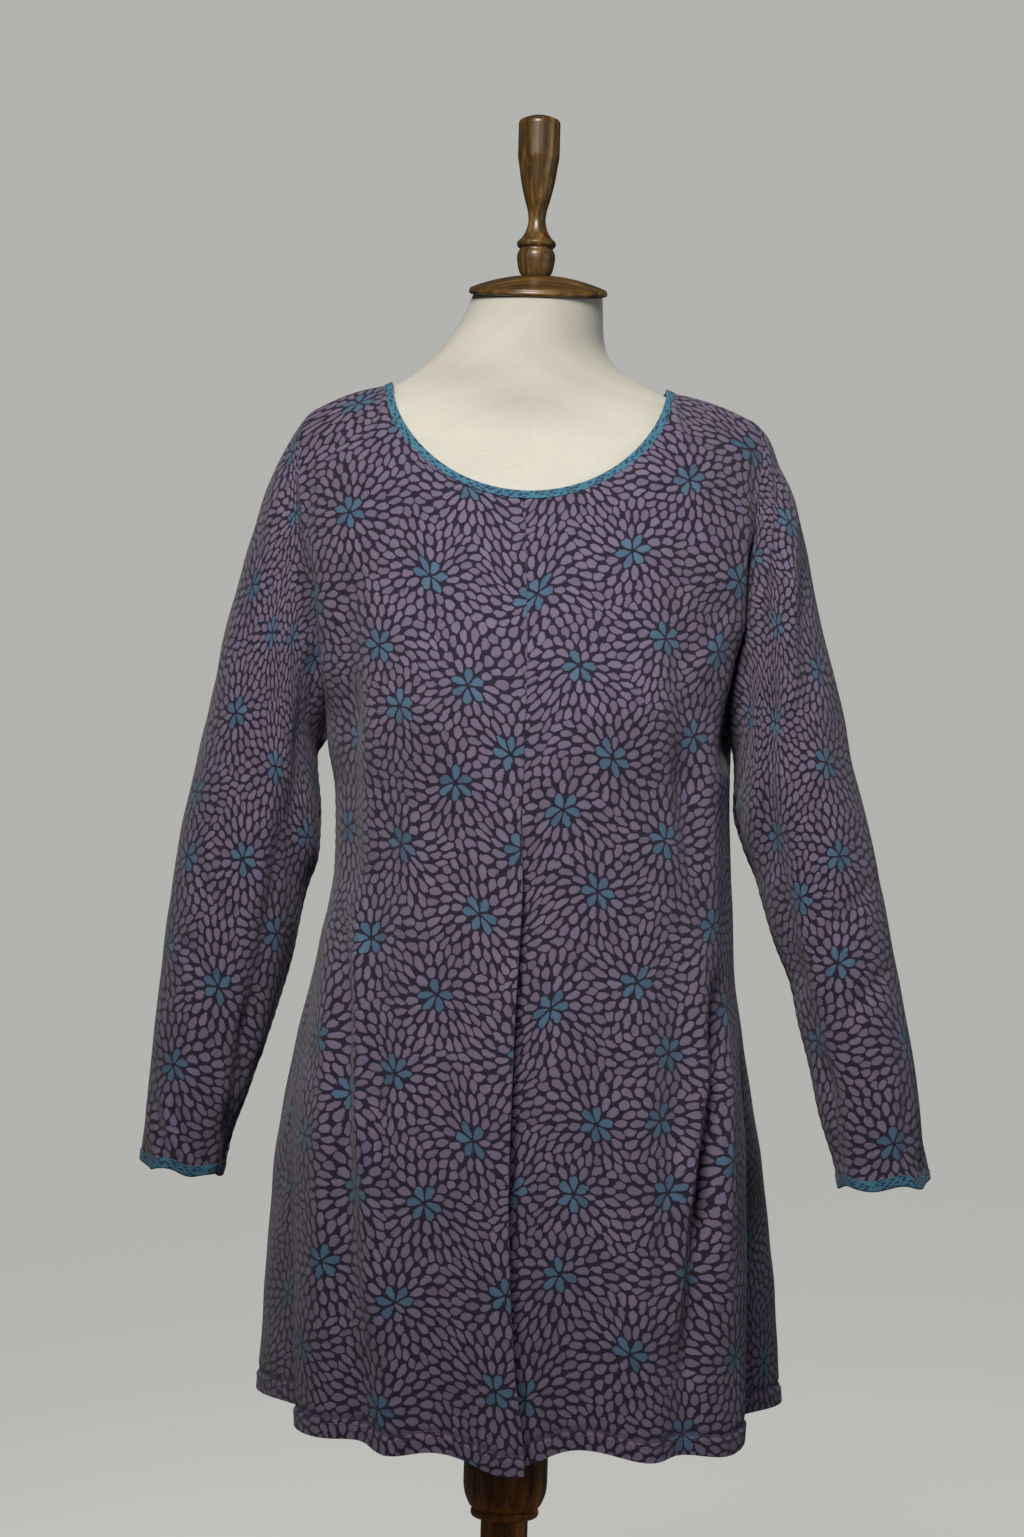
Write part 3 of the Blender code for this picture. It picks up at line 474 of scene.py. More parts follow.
def clothPiece(name, points, quads, uv, thickness, shift, lay, hemShadeLine=0.0):
    """A closed shell of cloth: the outer skin, the same skin moved in along its normals, and a rim that joins
    their edges. Every face keeps the petals nearest its middle, for the print."""
    points, count = points.reshape(-1, 3), len(points.reshape(-1, 3))
    uv = uv.reshape(-1, 2) + shift
    inner = points - pointNormals(points, quads) * np.broadcast_to(thickness, (count,))[:, None]
    edges = np.stack([quads, np.roll(quads, -1, axis=1)], axis=-1).reshape(-1, 2)
    _, first, uses = np.unique(np.sort(edges, axis=1), axis=0, return_index=True, return_counts=True)
    border = first[uses == 1]
    a, b = edges[border].T
    rim = np.stack([b, a, a + count, b + count], axis=1)
    faces = np.concatenate([quads, quads[:, ::-1] + count, rim])
    source = np.concatenate([np.arange(len(quads)), np.arange(len(quads)), border // 4])
    both, bothUv = np.concatenate([points, inner]), np.concatenate([uv, uv])
    piece = meshObject(name, both, faces, [jersey, jerseyReverse], bothUv, sharpAngle=60)
    angle = math.radians(lay)  # the print lies turned by this on the cloth, its knit ribs stay upright
    turning = np.array([[math.cos(angle), math.sin(angle)], [-math.sin(angle), math.cos(angle)]])
    triples = nearestPetals(uv[quads].mean(axis=1) @ turning)[source]
    triples[..., :2] = triples[..., :2] @ turning.T
    triples[..., 3:5] = triples[..., 3:5] @ turning.T
    if hemShadeLine:  # painted shade: a darker purple line along the hem's stitches, where the cloth is drawn into a groove
        sewn = 0.6 * bell((bothUv[:, 1] - shift[1] - hemShadeLine) / 0.0016)
        layer = piece.data.attributes.new("sewn", "FLOAT", "POINT")
        layer.data.foreach_set("value", sewn.astype(np.float32))
    for k in range(4):
        for title, part in (("petalPlace", triples[:, k, :3]), ("petalWay", triples[:, k, 3:])):
            layer = piece.data.attributes.new(f"{title}{k}", "FLOAT_VECTOR", "FACE")
            layer.data.foreach_set("vector", part.astype(np.float32).ravel())
    reverse = np.zeros(len(faces), np.int32)
    reverse[len(quads) : 2 * len(quads)] = 1
    piece.data.polygons.foreach_set("material_index", reverse)
    print("cloth piece", name, "with", len(faces), "faces")
    return piece


# The body of the dress follows the frame's own sections, on a much finer grid
bodyLook = dict(
    cloth=0.0011,  # thickness of the jersey
    seamGap=0.0010,  # half of the centre seam's gap, as a share of a panel's half width
    shoulderTrim=0.0007,  # how far a panel stops short of the shoulder's line
    neckShare=0.62,  # share of the half width where the neckline ends and the shoulder starts
    seamDepth=0.0008,
    seamWidth=0.0028,
    shoulderGroove=0.0007,
    neckRidge=0.0006,  # where the neck binding presses the cloth up
    pleatTop=1.045,  # height where the sewn centre front ends
    pleatOpening=0.09,  # height over which it opens
    pleatFold=0.0022,  # radius of a fold
    pleatReturn=0.034,  # width of the cloth folded under, at the hem
    pleatStart=0.006,  # and at the pleat's top
    pleatEase=0.030,  # height over which a fold rounds up from the seam
    pleatLift=0.014,  # how far the left fold stands out at the hem
    pleatDrop=0.006,  # and the right one stands back
    pleatSpread=0.11,  # over this share of a panel's half width
    pleatLap=0.0026,  # how far the left fold laps over the centre
    pleatClear=0.0026,  # between a fold's underside and the strip behind it
    pleatUnder=0.0030,  # how far the right fold goes in behind the left one
    pleatSink=0.0145,  # and how deep it sinks there
    pleatHollow=0.080,  # over this share of a panel's half width
    armpitZ=1.112,
    hemZ=0.54,
    hemBand=0.0165,  # width of the turned-up hem
    hemTurn=0.0007,  # what the turned-up cloth adds
    hemGroove=0.0016,  # depth of the groove at its stitches
    hemPucker=0.0010,
    rows=208,
    neckColumns=42,
    shoulderColumns=26,
)
# Level sections from the hem up: heights at the middle and the side and a rise between them, half width, lean
# to the right, depth at the middle and the side, and the turn from the middle to the side in degrees
section = "midZ sideZ rise half lean depth sideY sweep"
frontRows = table(
    section,
    (0.546, 0.550, 0.000, 0.213, 0.011, 0.158, 0.000, 90),
    (0.640, 0.644, 0.000, 0.212, 0.008, 0.157, 0.000, 90),
    (0.760, 0.760, 0.000, 0.206, 0.004, 0.154, 0.000, 90),
    (0.860, 0.860, 0.000, 0.189, 0.004, 0.149, 0.000, 90),
    (0.940, 0.938, 0.000, 0.174, 0.006, 0.144, 0.000, 90),
    (1.005, 1.000, 0.000, 0.165, 0.009, 0.140, 0.000, 90),
    (1.065, 1.060, 0.000, 0.164, 0.007, 0.138, 0.000, 90),
    (1.125, 1.110, 0.000, 0.168, 0.004, 0.134, 0.000, 90),
    (1.180, 1.165, 0.000, 0.176, 0.003, 0.122, 0.036, 76),
    (1.232, 1.235, 0.004, 0.185, 0.001, 0.108, 0.044, 66),
    (1.268, 1.300, 0.012, 0.191, -0.001, 0.096, 0.036, 60),
    (1.292, 1.352, 0.027, 0.193, -0.002, 0.085, 0.018, 54),
)
backRows = table(
    section,
    (0.550, 0.550, 0.000, 0.213, 0.011, 0.158, 0.000, 90),
    (0.640, 0.644, 0.000, 0.212, 0.008, 0.154, 0.000, 90),
    (0.760, 0.760, 0.000, 0.206, 0.004, 0.145, 0.000, 90),
    (0.860, 0.860, 0.000, 0.189, 0.004, 0.133, 0.000, 90),
    (0.938, 0.938, 0.000, 0.174, 0.006, 0.122, 0.000, 90),
    (1.000, 1.000, 0.000, 0.165, 0.009, 0.114, 0.000, 90),
    (1.060, 1.060, 0.000, 0.164, 0.007, 0.111, 0.000, 90),
    (1.115, 1.110, 0.000, 0.168, 0.004, 0.111, 0.000, 90),
    (1.180, 1.165, 0.000, 0.177, 0.003, 0.113, 0.046, 78),
    (1.250, 1.235, 0.000, 0.186, 0.001, 0.112, 0.060, 68),
    (1.315, 1.300, 0.004, 0.191, 0.000, 0.107, 0.056, 62),
    (1.366, 1.350, 0.014, 0.193, -0.002, 0.094, 0.036, 54),
)
# Folds round the skirt: where each stands at the hem in degrees from the front, how far it drifts up to its
# start, its half width in degrees, its push, the height of its start, and how far the hem dips under it
foldRows = table(
    "angle drift spread push start dip",
    (0, 0, 13, 0.000, 0.80, 0.017),
    (-33, -2, 8, 0.007, 1.00, 0.007),
    (-43, 2, 6, -0.006, 1.00, -0.002),
    (-55, 0, 9, 0.004, 1.02, 0.001),
    (-84, 0, 15, -0.040, 0.98, 0.000),
    (-120, 6, 16, 0.047, 1.02, 0.000),
    (-150, 0, 13, -0.012, 0.95, -0.003),
    (19, 4, 9, -0.007, 0.95, -0.004),
    (38, 6, 8, 0.007, 1.03, 0.007),
    (47, 2, 6, -0.006, 1.00, 0.000),
    (58, 0, 9, 0.005, 1.02, 0.008),
    (86, 0, 15, -0.042, 0.98, 0.000),
    (120, -6, 16, 0.052, 1.02, 0.000),
    (150, 0, 13, -0.012, 0.95, -0.003),
    (180, 0, 13, 0.014, 0.95, 0.004),
)
# How far the centre front swings sideways at each height, in millimetres
centreSwing = table(
    "z x",
    (540, 1),
    (570, -1.2),
    (605, -5.8),
    (660, -9),
    (720, -10),
    (790, -10.3),
    (870, -9.2),
    (950, -9),
    (1045, -9.8),
    (1095, -6.2),
    (1140, -4.2),
    (1240, -3.6),
    (1310, -3),
    per=1000,
)
bust = dict(x=0.080, z=1.135, push=0.010, wide=0.050, high=0.055)
neck = dict(side=(0.1195, 0.000, 1.4025), tip=(0.1865, 0.002, 1.3790), bow=0.0035, lean=-0.0045)
neck.update(fullness=1.16, even=0.74, forward=0.55, front=(-0.0800, 1.3065), back=(0.0780, 1.3850))
neck.update(corner=0.10)
flatCurve = 0.86  # below 1 makes a section fuller than an ellipse


def sectionPoints(rows, across, front):
    """x: the lean and the half width by the sine of the turn. y: from the side's to the middle's depth by a
    power of the cosine. z: from the middle's to the side's height by the square of across."""
    column = {name: values[:, None] for name, values in rows.items()}
    sweep = np.radians(column["sweep"])
    turn, side = sweep * across, np.abs(across)
    x = column["lean"] + column["half"] * np.sin(turn) / np.sin(sweep)
    full, least = (np.maximum(np.cos(part), 0) ** flatCurve for part in (turn, sweep))
    y = column["sideY"] + (column["depth"] - column["sideY"]) * (full - least) / (1 - least)
    z = column["midZ"] + (column["sideZ"] - column["midZ"]) * side**2
    z = z + column["rise"] * np.sin(np.pi * side) ** 2
    return np.stack([x, -y if front else y, z], axis=-1)


def topEdge(across, front):
    """The neckline, a quarter turn whose fall is a power of the cosine, then the straight shoulder seam."""
    side, way = np.abs(across), np.sign(across)
    middleY, middleZ = neck["front"] if front else neck["back"]
    roundNeck = np.clip(side / bodyLook["neckShare"], 0, 1)
    turn = np.pi / 2 * roundNeck * (neck["even"] + (1 - neck["even"]) * roundNeck**2)
    fall = np.maximum(np.cos(turn), 0) ** neck["fullness"]
    share = np.clip((side - bodyLook["neckShare"]) / (1 - bodyLook["neckShare"]), 0, 1)
    sideX, sideY, sideZ = neck["side"]
    tipX, _, tipZ = neck["tip"]
    x = sideX * np.sin(turn) + (tipX - sideX) * share
    y = sideY + (middleY - sideY) * fall ** neck["forward"]
    z = sideZ + (middleZ - sideZ) * fall + (tipZ - sideZ) * share + neck["bow"] * np.sin(np.pi * share)
    return np.stack([x * way + neck["lean"] * (1 - share), y, z], axis=-1)


def folded(points):
    """Each fold pushes out along the turn's bell, more towards the hem, and lets the hem dip under it."""
    x, y, z = points[..., 0], points[..., 1], points[..., 2]
    angle = np.degrees(np.arctan2(x, -y))
    push, dip = np.zeros_like(x), np.zeros_like(x)
    for centre, drift, reach, depth, start, drop in zip(*foldRows.values()):
        grown = np.clip((start - z) / (start - bodyLook["hemZ"]), 0, 1.05)
        near = bell(((angle - centre - drift * (1 - grown) + 180) % 360 - 180) / reach)
        push += depth * grown**1.15 * near
        dip += drop * grown**2 * near
    for way in (-1, 1):
        off = ((x - way * bust["x"]) / bust["wide"]) ** 2 + ((z - bust["z"]) / bust["high"]) ** 2
        push += bust["push"] * np.exp(-off) * (y < 0)
    outward = unit(points[..., :2])
    return points + np.concatenate([outward * push[..., None], -dip[..., None]], axis=-1)


def shoulderShare(across):
    """0 along the neckline, 1 along the shoulder, and a ramp between at the corner."""
    return ramp((np.abs(across) - bodyLook["neckShare"] + neck["corner"]) / neck["corner"])


def panelPoints(across, up, front):
    """The dress at the places across (-1 to 1) and up (0 at the hem to 1 at the top edge): a smooth curve up
    each column through the sections, the top edge and a point beyond it."""
    rows, other = (frontRows, backRows) if front else (backRows, frontRows)
    sections, top = sectionPoints(rows, across, front), topEdge(across, front)
    over = sectionPoints({name: values[-1:] for name, values in other.items()}, across, not front)[0]
    onward = top + 0.5 * (top - sections[-1])
    beyond = onward + (over - onward) * shoulderShare(across)[:, None]
    stack = np.concatenate([sections, top[None], beyond[None]])
    height = stack[:-1, :, 2].mean(axis=1)
    knots = (height - height[0]) / (height[-1] - height[0])
    return folded(smooth(np.append(knots, 2 * knots[-1] - knots[-2]), stack, up))


# Creases placed one by one, in millimetres, as seen from the front (or through the dress for the back): x and
# z of the start and the end, half width, and how far out (a ridge) or in (a trough)
crease = "x0 z0 x1 z1 width depth"
frontCreases = table(
    crease,
    (187, 1345, 190, 1250, 10, -6),
    (190, 1270, 187, 1170, 11, -9),
    (184, 1190, 168, 1100, 13, -10),
    (168, 1215, 128, 1150, 13, 3),
    (124, 1195, 132, 1068, 16, -5),
    (131, 1090, 141, 950, 13, -6.5),
    (150, 1100, 156, 930, 12, 3.5),
    (136, 1010, 149, 830, 12, 6.2),
    (150, 850, 136, 740, 10, 7),
    (137, 780, 128, 640, 10, 6.5),
    (160, 900, 156, 740, 10, -10.5),
    (152, 770, 144, 600, 10, -10),
    (170, 860, 172, 630, 12, 4),
    (-187, 1345, -188, 1220, 9, -4),
    (-188, 1240, -176, 1120, 10, -10),
    (-150, 1235, -147, 1110, 15, -4.5),
    (-147, 1150, -139, 990, 13, -5.8),
    (-126, 1140, -122, 1000, 14, 2),
    (-130, 960, -123, 780, 10, 6.5),
    (-121, 810, -109, 640, 10, 6.5),
    (-143, 930, -134, 660, 11, -9.5),
    (-152, 900, -158, 660, 12, 3),
    (-60, 960, -66, 660, 20, -3.2),
    (64, 940, 74, 640, 22, -3.4),
    (98, 900, 102, 620, 18, 2.8),
    (-88, 1090, -92, 900, 18, 2.6),
    (-110, 1330, -150, 1260, 16, 1.6),
    (100, 1340, 156, 1265, 16, 1.8),
    per=1000,
)
backCreases = table(
    crease,
    (184, 1330, 180, 1190, 10, -3.5),
    (-184, 1330, -180, 1190, 10, -3.5),
    (150, 1230, 120, 1090, 15, -4),
    (-148, 1240, -124, 1100, 16, -3.8),
    (60, 1180, 52, 980, 20, -2.6),
    (-66, 1150, -60, 940, 18, -2.8),
    (20, 1060, 12, 780, 18, 2.4),
    (108, 1060, 128, 700, 14, 4),
    (128, 1000, 150, 640, 10, -5),
    (-100, 1050, -118, 700, 13, 4.2),
    (-122, 980, -142, 620, 10, -4.8),
    (-40, 930, -52, 640, 15, 3.4),
    (52, 900, 64, 620, 13, -3.6),
    per=1000,
)
sleeveCreases = {
    -1: table(
        crease,
        (-183, 1130, -188, 980, 9, -6),
        (-196, 1040, -222, 850, 10, -5.5),
        (-219, 880, -236, 770, 8, -4.5),
        (-208, 1090, -216, 930, 11, 3.5),
        (-214, 1230, -206, 1110, 12, -3),
        (-238, 1220, -246, 1080, 16, 2.2),
        (-272, 1010, -246, 960, 10, -2.4),
        (-280, 940, -250, 905, 9, -2.2),
        (-262, 880, -268, 790, 10, 2.4),
        (-298, 806, -288, 768, 4.5, -2.8),
        (-288, 812, -276, 766, 4.5, 2.2),
        (-280, 800, -266, 764, 4.5, -2.2),
        (-262, 800, -254, 762, 5, 1.8),
        (-196, 1335, -205, 1230, 10, -3),
        per=1000,
    ),
    1: table(
        crease,
        (199, 1140, 200, 1010, 9, -6),
        (206, 1050, 226, 900, 10, -5.5),
        (226, 940, 256, 820, 10, -5),
        (250, 850, 268, 765, 8, -4),
        (203, 1345, 200, 1210, 9, -4.5),
        (200, 1240, 204, 1130, 8, -5),
        (214, 1300, 216, 1130, 9, 3.8),
        (236, 1150, 252, 1010, 14, 2.4),
        (288, 1000, 254, 960, 10, -2.4),
        (300, 930, 272, 895, 9, -2.2),
        (296, 900, 312, 790, 12, 2.4),
        (284, 830, 290, 768, 6, -2),
        (318, 820, 320, 768, 6, -1.8),
        per=1000,
    ),
}


def creased(points, rows):
    """Push of each crease: depth (1 - 0.6 q^2) e^-q^2, q being the distance from its line over its half
    width, fading beyond its ends."""
    x, z = points[..., 0], points[..., 2]
    push = np.zeros_like(x)
    for x0, z0, x1, z1, width, depth in zip(*rows.values()):
        runX, runZ = x1 - x0, z1 - z0
        long = math.hypot(runX, runZ)
        along = ((x - x0) * runX + (z - z0) * runZ) / long**2
        q = ((x - x0) * runZ - (z - z0) * runX) / long / width
        fade = ramp((along + 0.22) / 0.4) * ramp((1.22 - along) / 0.4)
        push += depth * (1 - 0.6 * q**2) * bell(q) * fade
    return push


def trimmed(points, across):
    """Draws the top edge back along the shoulder, so that the panels' edges don't cross there."""
    trim = bodyLook["shoulderTrim"] * shoulderShare(across)[:, None]
    points[-1] += trim * unit(points[-2] - points[-1])
    return points


def frontHalf(way, across, up):
    """One front, with its pleat fold lifted or sunk, then creased. way is -1 for the viewer's left."""
    look, points = bodyLook, panelPoints(way * across, up, True)
    x, y, z = (points[..., k] for k in range(3))
    below = ramp((look["pleatTop"] - z) / (look["pleatTop"] - look["hemZ"]))
    near = bell(across[None, :] / look["pleatSpread"])
    y -= (look["pleatLift"] if way < 0 else -look["pleatDrop"]) * below * near
    x += way * look["pleatFold"] * pleatStarted(z) * near
    opened = ramp((look["pleatTop"] - z) / look["pleatOpening"])
    if way > 0:  # the right fold stands back and sinks behind the left one
        x -= look["pleatUnder"] * opened * near
        y += look["pleatSink"] * opened * bell(across / look["pleatHollow"])
    else:
        x += look["pleatLap"] * opened * near
    x += centreSwung(z) * (1 - ramp(across / 0.6))
    return trimmed(points, across)


def centreSwung(z):
    return np.interp(z, centreSwing["z"], centreSwing["x"])


def pleatStarted(z):
    return ramp((bodyLook["pleatTop"] - z) / bodyLook["pleatEase"] + 0.7)


def halfColumns():
    look = bodyLook
    inner = spaced(look["seamGap"], look["neckShare"], look["neckColumns"], tightFirst=3.0, reach=0.05)
    outer = spaced(look["neckShare"], 1, look["shoulderColumns"], tightLast=3.0, reach=0.07)
    return np.append(inner[:-1], outer)


def panelRows():
    return spaced(0, 1, bodyLook["rows"], tightFirst=1.6, tightLast=1.2, reach=0.03)


def turnedUp(v):
    """How much thicker the cloth is below the hem's stitches."""
    return bodyLook["hemTurn"] * ramp((bodyLook["hemBand"] - v) / 0.003)


def hemmed(push, u, v, edge, seed):
    """The turned-up hem: thicker below the stitches, a groove at them, and puckers that fade upwards."""
    look, band = bodyLook, bodyLook["hemBand"]
    push = push + turnedUp(v) - look["hemGroove"] * bell((v - band) / 0.0024)
    pucker = np.sin(u / 0.0125 * 2 * np.pi + 2.2 * waves(u, v * 0, 6, 0.05, 0.12, 1, seed))
    uneven = 0.6 + 0.4 * waves(u, v, 5, 0.06, 0.2, 1, seed + 1)
    return push + ramp(edge / 0.016) * look["hemPucker"] * pucker * bell((v - band * 0.7) / 0.011) * uneven


def seamed(push, away, along, depth, seed):
    """A sewn seam: the cloth turns in over 3 mm from the edge, with small puckers beside it."""
    push = push - depth * bell(away / bodyLook["seamWidth"])
    pucker = np.sin(along / 0.0105 * 2 * np.pi + 2 * waves(along, along * 0, 5, 0.04, 0.1, 1, seed))
    return push + 0.00025 * pucker * bell((away - 0.005) / 0.005) * ramp(away / 0.004)


def edged(push, u, v, side, edge, across, sideSeed, hemSeed):
    """The side seam, the groove of the shoulder seam, the ridge below the neck binding and the hem."""
    look, top, out = bodyLook, v[-1:] - v, np.abs(across)
    push = seamed(push, side, v, look["seamDepth"], sideSeed)
    push = push - look["shoulderGroove"] * bell(top / 0.0026) * ramp((out - look["neckShare"]) / 0.02)
    push = push + look["neckRidge"] * bell((top - 0.0045) / 0.0022) * (out < look["neckShare"])
    return hemmed(push, u, v, edge, hemSeed)


def seamFade(side, z, top):
    """0 at the side seam and the top edge, where panels meet, but 1 along the armhole, which the sleeve
    follows."""
    return np.maximum(ramp(side / 0.012), ramp((z - bodyLook["armpitZ"]) / 0.03)) * ramp(top / 0.012)


def sideways(normal, away, points):
    """Normals that turn to point straight out to the side at a side seam, so both panels move alike there."""
    x, z = points[..., 0], points[..., 2]
    share = (bell(away / 0.006) * ramp((bodyLook["armpitZ"] - z) / 0.03))[..., None]
    return unit(normal * (1 - share) + share * np.sign(x)[..., None] * np.array([1.0, 0.0, 0.0]))


def frontPanel(name, way, shift, lay):
    look, across, up = bodyLook, halfColumns(), panelRows()
    panel = frontHalf(way, across, up)
    normal = gridNormals(panel) * way
    u, v = lengths(panel, 1), lengths(panel, 0)
    z, farSide = panel[..., 2], u[:, -1:] - u
    normal = sideways(normal, farSide, panel)
    push = creased(panel, frontCreases)
    push += 0.0007 * waves(u, v, 16, 0.030, 0.085, 1.6, 7 + way)
    push += 0.0008 * waves(u, v, 9, 0.045, 0.09, 6, 17 + way)
    push *= ramp((u - 0.012) / 0.040 + ramp((z - look["pleatTop"]) / 0.03)) * seamFade(farSide, z, v[-1:] - v)
    fromCentre = u + 1e9 * (z < look["pleatTop"] + 0.012)  # the centre seam ends where the pleat opens
    push = seamed(push, fromCentre, v, look["seamDepth"], 31)
    push = edged(push, u, v, farSide, np.minimum(u, farSide), across, 37 + way, 51 + way)
    panel = panel + normal * push[..., None]
    normal = gridNormals(panel) * way
    # The pleat's fold and return, below the end of the seam
    folding = int((pleatStarted(panel[:, 0, 2]) > 0.02).sum())
    edge, out = panel[:folding, 0], normal[:folding, 0]
    height = np.clip((look["pleatTop"] - edge[:, 2:]) / (look["pleatTop"] - look["hemZ"]), 0, 1.05)
    started = pleatStarted(edge[:, 2:])
    beyond = np.array([-way, 0.0, 0.0]) * started
    turns = np.radians([25, 50, 75, 100, 125, 150, 175])[None, :, None]
    arc = out[:, None] * (np.cos(turns) - 1) + beyond[:, None] * np.sin(turns)
    arc = edge[:, None] + look["pleatFold"] * arc
    reach = panel[:folding, : int((across < 0.32).sum())]
    inward = reach - 2 * look["pleatFold"] * normal[:folding, : reach.shape[1]]
    wide = started * (look["pleatStart"] + (look["pleatReturn"] - look["pleatStart"]) * height)
    wide = wide * np.linspace(0.02, 1, 9)
    gone = np.abs(reach[..., 0] - reach[:, :1, 0])
    place = (gone[:, None, :] <= wide[..., None]).sum(axis=-1).clip(1, reach.shape[1] - 1)
    line = np.arange(folding)[:, None]
    share = ((wide - gone[line, place - 1]) / (gone[line, place] - gone[line, place - 1]))[..., None]
    under = inward[line, place - 1] * (1 - share) + inward[line, place] * share
    extra = np.concatenate([arc, under], axis=1)
    extraU = -lengths(np.concatenate([edge[:, None], extra], axis=1), 1)[:, 1:]
    points = np.concatenate([panel.reshape(-1, 3), extra.reshape(-1, 3)])
    extraV = np.repeat(v[:folding, :1], extra.shape[1], axis=1)
    pairs = (u, v), (extraU, extraV)
    uv = np.concatenate([np.stack([way * one, other], axis=-1).reshape(-1, 2) for one, other in pairs])
    rows, columns = panel.shape[:2]
    index = np.arange(rows * columns).reshape(rows, columns)[:folding, :1]
    more = rows * columns + np.arange(extra.shape[0] * extra.shape[1]).reshape(extra.shape[:2])
    strip = np.concatenate([index, more], axis=1)
    link = np.stack([strip[:-1, :-1], strip[1:, :-1], strip[1:, 1:], strip[:-1, 1:]], axis=-1).reshape(-1, 4)
    quads = np.concatenate([gridQuads(rows, columns, turned=way < 0), link[:, ::-1] if way < 0 else link])
    thickness = look["cloth"] + turnedUp(uv[:, 1])
    piece = clothPiece(name, points, quads, uv, thickness, shift, lay, look["hemBand"])
    return piece, panel, normal, u, v


def backPanel(name, shift, lay):
    look = bodyLook
    half = halfColumns()[1:]
    across = np.concatenate([half[::-1], [0], -half])
    panel = trimmed(panelPoints(across, panelRows(), False), across)
    normal = gridNormals(panel)
    u, v = lengths(panel, 1), lengths(panel, 0)
    edge = np.minimum(u, u[:, -1:] - u)
    normal = sideways(normal, edge, panel)
    push = creased(panel, backCreases)
    push += 0.0008 * waves(u, v, 16, 0.030, 0.085, 1.6, 3)
    push += 0.0010 * waves(u, v, 9, 0.045, 0.09, 6, 13)
    push *= seamFade(edge, panel[..., 2], v[-1:] - v)
    push = edged(push, u, v, edge, edge, across, 43, 61)
    panel = panel + normal * push[..., None]
    uv = np.stack([u, v], axis=-1)
    thickness = (look["cloth"] + turnedUp(v)).ravel()
    piece = clothPiece(name, panel, gridQuads(*panel.shape[:2]), uv, thickness, shift, lay, look["hemBand"])
    return piece, panel, gridNormals(panel), u, v


def pleatStrip(name, shift, lay):
    """The strip behind the pleat's two folds, as wide as the frame's."""
    look, across = bodyLook, np.linspace(-1, 1, 23)
    up = panelRows()
    middle = panelPoints(np.array([0.0, 0.01]), up, True)[:, 0]
    kept = middle[:, 2] < look["pleatTop"] - look["pleatEase"] / 2
    below = ((look["pleatTop"] - middle[kept, 2]) / (look["pleatTop"] - look["hemZ"]))[:, None]
    half = np.interp(below, (0, 1), (0.010, 0.040))
    wide = panelPoints(np.linspace(-0.2, 0.2, 81), up[kept], True)
    place = (across * half / (1.5 * frontRows["half"].max()) + 0.2) / 0.4 * 80
    low = place.astype(int)
    line, share = np.arange(len(wide))[:, None], (place - low)[..., None]
    strip = wide[line, low] * (1 - share) + wide[line, low + 1] * share
    # Its left half lies behind the raised left fold, its right half behind the sunk right one
    opened = ramp(below * (look["pleatTop"] - look["hemZ"]) / look["pleatOpening"])
    out = place / 80 * 0.4 - 0.2
    near = ramp(below) * bell(out / look["pleatSpread"])
    left, right = -look["pleatLift"] * near, look["pleatDrop"] * near
    right = right + look["pleatSink"] * opened * bell(np.maximum(out, 0) / look["pleatHollow"])
    behind = 2 * look["pleatFold"] + look["pleatClear"]
    strip[..., 1] += left + (right - left) * ramp((place - 30) / 6) + behind
    strip[..., 0] += centreSwung(strip[..., 2])
    strip[..., 2] += 0.004 * below
    uv = np.stack([lengths(strip, 1), lengths(strip, 0)], axis=-1)
    return clothPiece(name, strip, gridQuads(*strip.shape[:2]), uv, look["cloth"], shift, lay)


frontLeft = frontPanel("dressFrontLeft", -1, (0.047, 0.012), 24)
frontRight = frontPanel("dressFrontRight", 1, (0.131, 0.151), -31)
back = backPanel("dressBack", (0.210, 0.070), 17)
underlay = pleatStrip("dressPleatUnderlay", (0.090, 0.200), 40)

# Sleeves hang from the armholes, the viewer's left one closer in
sleeveLook = dict(
    rows=176,
    columns=104,
    out=0.0003,  # how far the first ring stands out from the armhole's edge
    tuck=4,  # columns of a panel that the seam allowance reaches in under
    below=0.0019,  # and how deep it lies there
    wave=0.0022,  # height of the cuff's waves
    waves=5,
    flare=0.0016,  # how far they swing out
    seamGap=0.0002,  # half of the underarm seam's gap, as a share of half a round
    seamDepth=0.0007,
    armholeDepth=0.0009,
)
# Rings from the shoulder to the cuff: x and z of the outer and the inner edge, half depth and y of the middle
sleeve = "outerX outerZ innerX innerZ halfDepth midY"
sleeveRows = {
    -1: table(
        sleeve,
        (203, 1352, 174, 1094, 60, 8),
        (225, 1303, 173, 1076, 63, 8),
        (241, 1236, 171, 1050, 64, 6),
        (257, 1165, 170, 1015, 63, 3),
        (271.5, 1090, 179, 981, 61, 0),
        (286, 1010, 190.5, 926, 58, -4),
        (297.5, 905, 205.5, 866, 53, -9),
        (303, 822, 221.5, 812, 46, -14),
        (306, 760, 240.5, 752, 38, -18),
        per=1000,
    ),
    1: table(
        sleeve,
        (204, 1350, 176, 1094, 60, 8),
        (222.5, 1300, 177, 1078, 63, 8),
        (238.5, 1232, 177.5, 1056, 64, 6),
        (256, 1165, 185, 1026, 63, 3),
        (274, 1090, 199, 988, 61, 0),
        (294.5, 1010, 211.5, 945, 57, -4),
        (316.5, 908, 233, 878, 51, -9),
        (332, 830, 250.5, 810, 45, -14),
        (340.5, 760, 267.5, 756, 39, -18),
        per=1000,
    ),
}


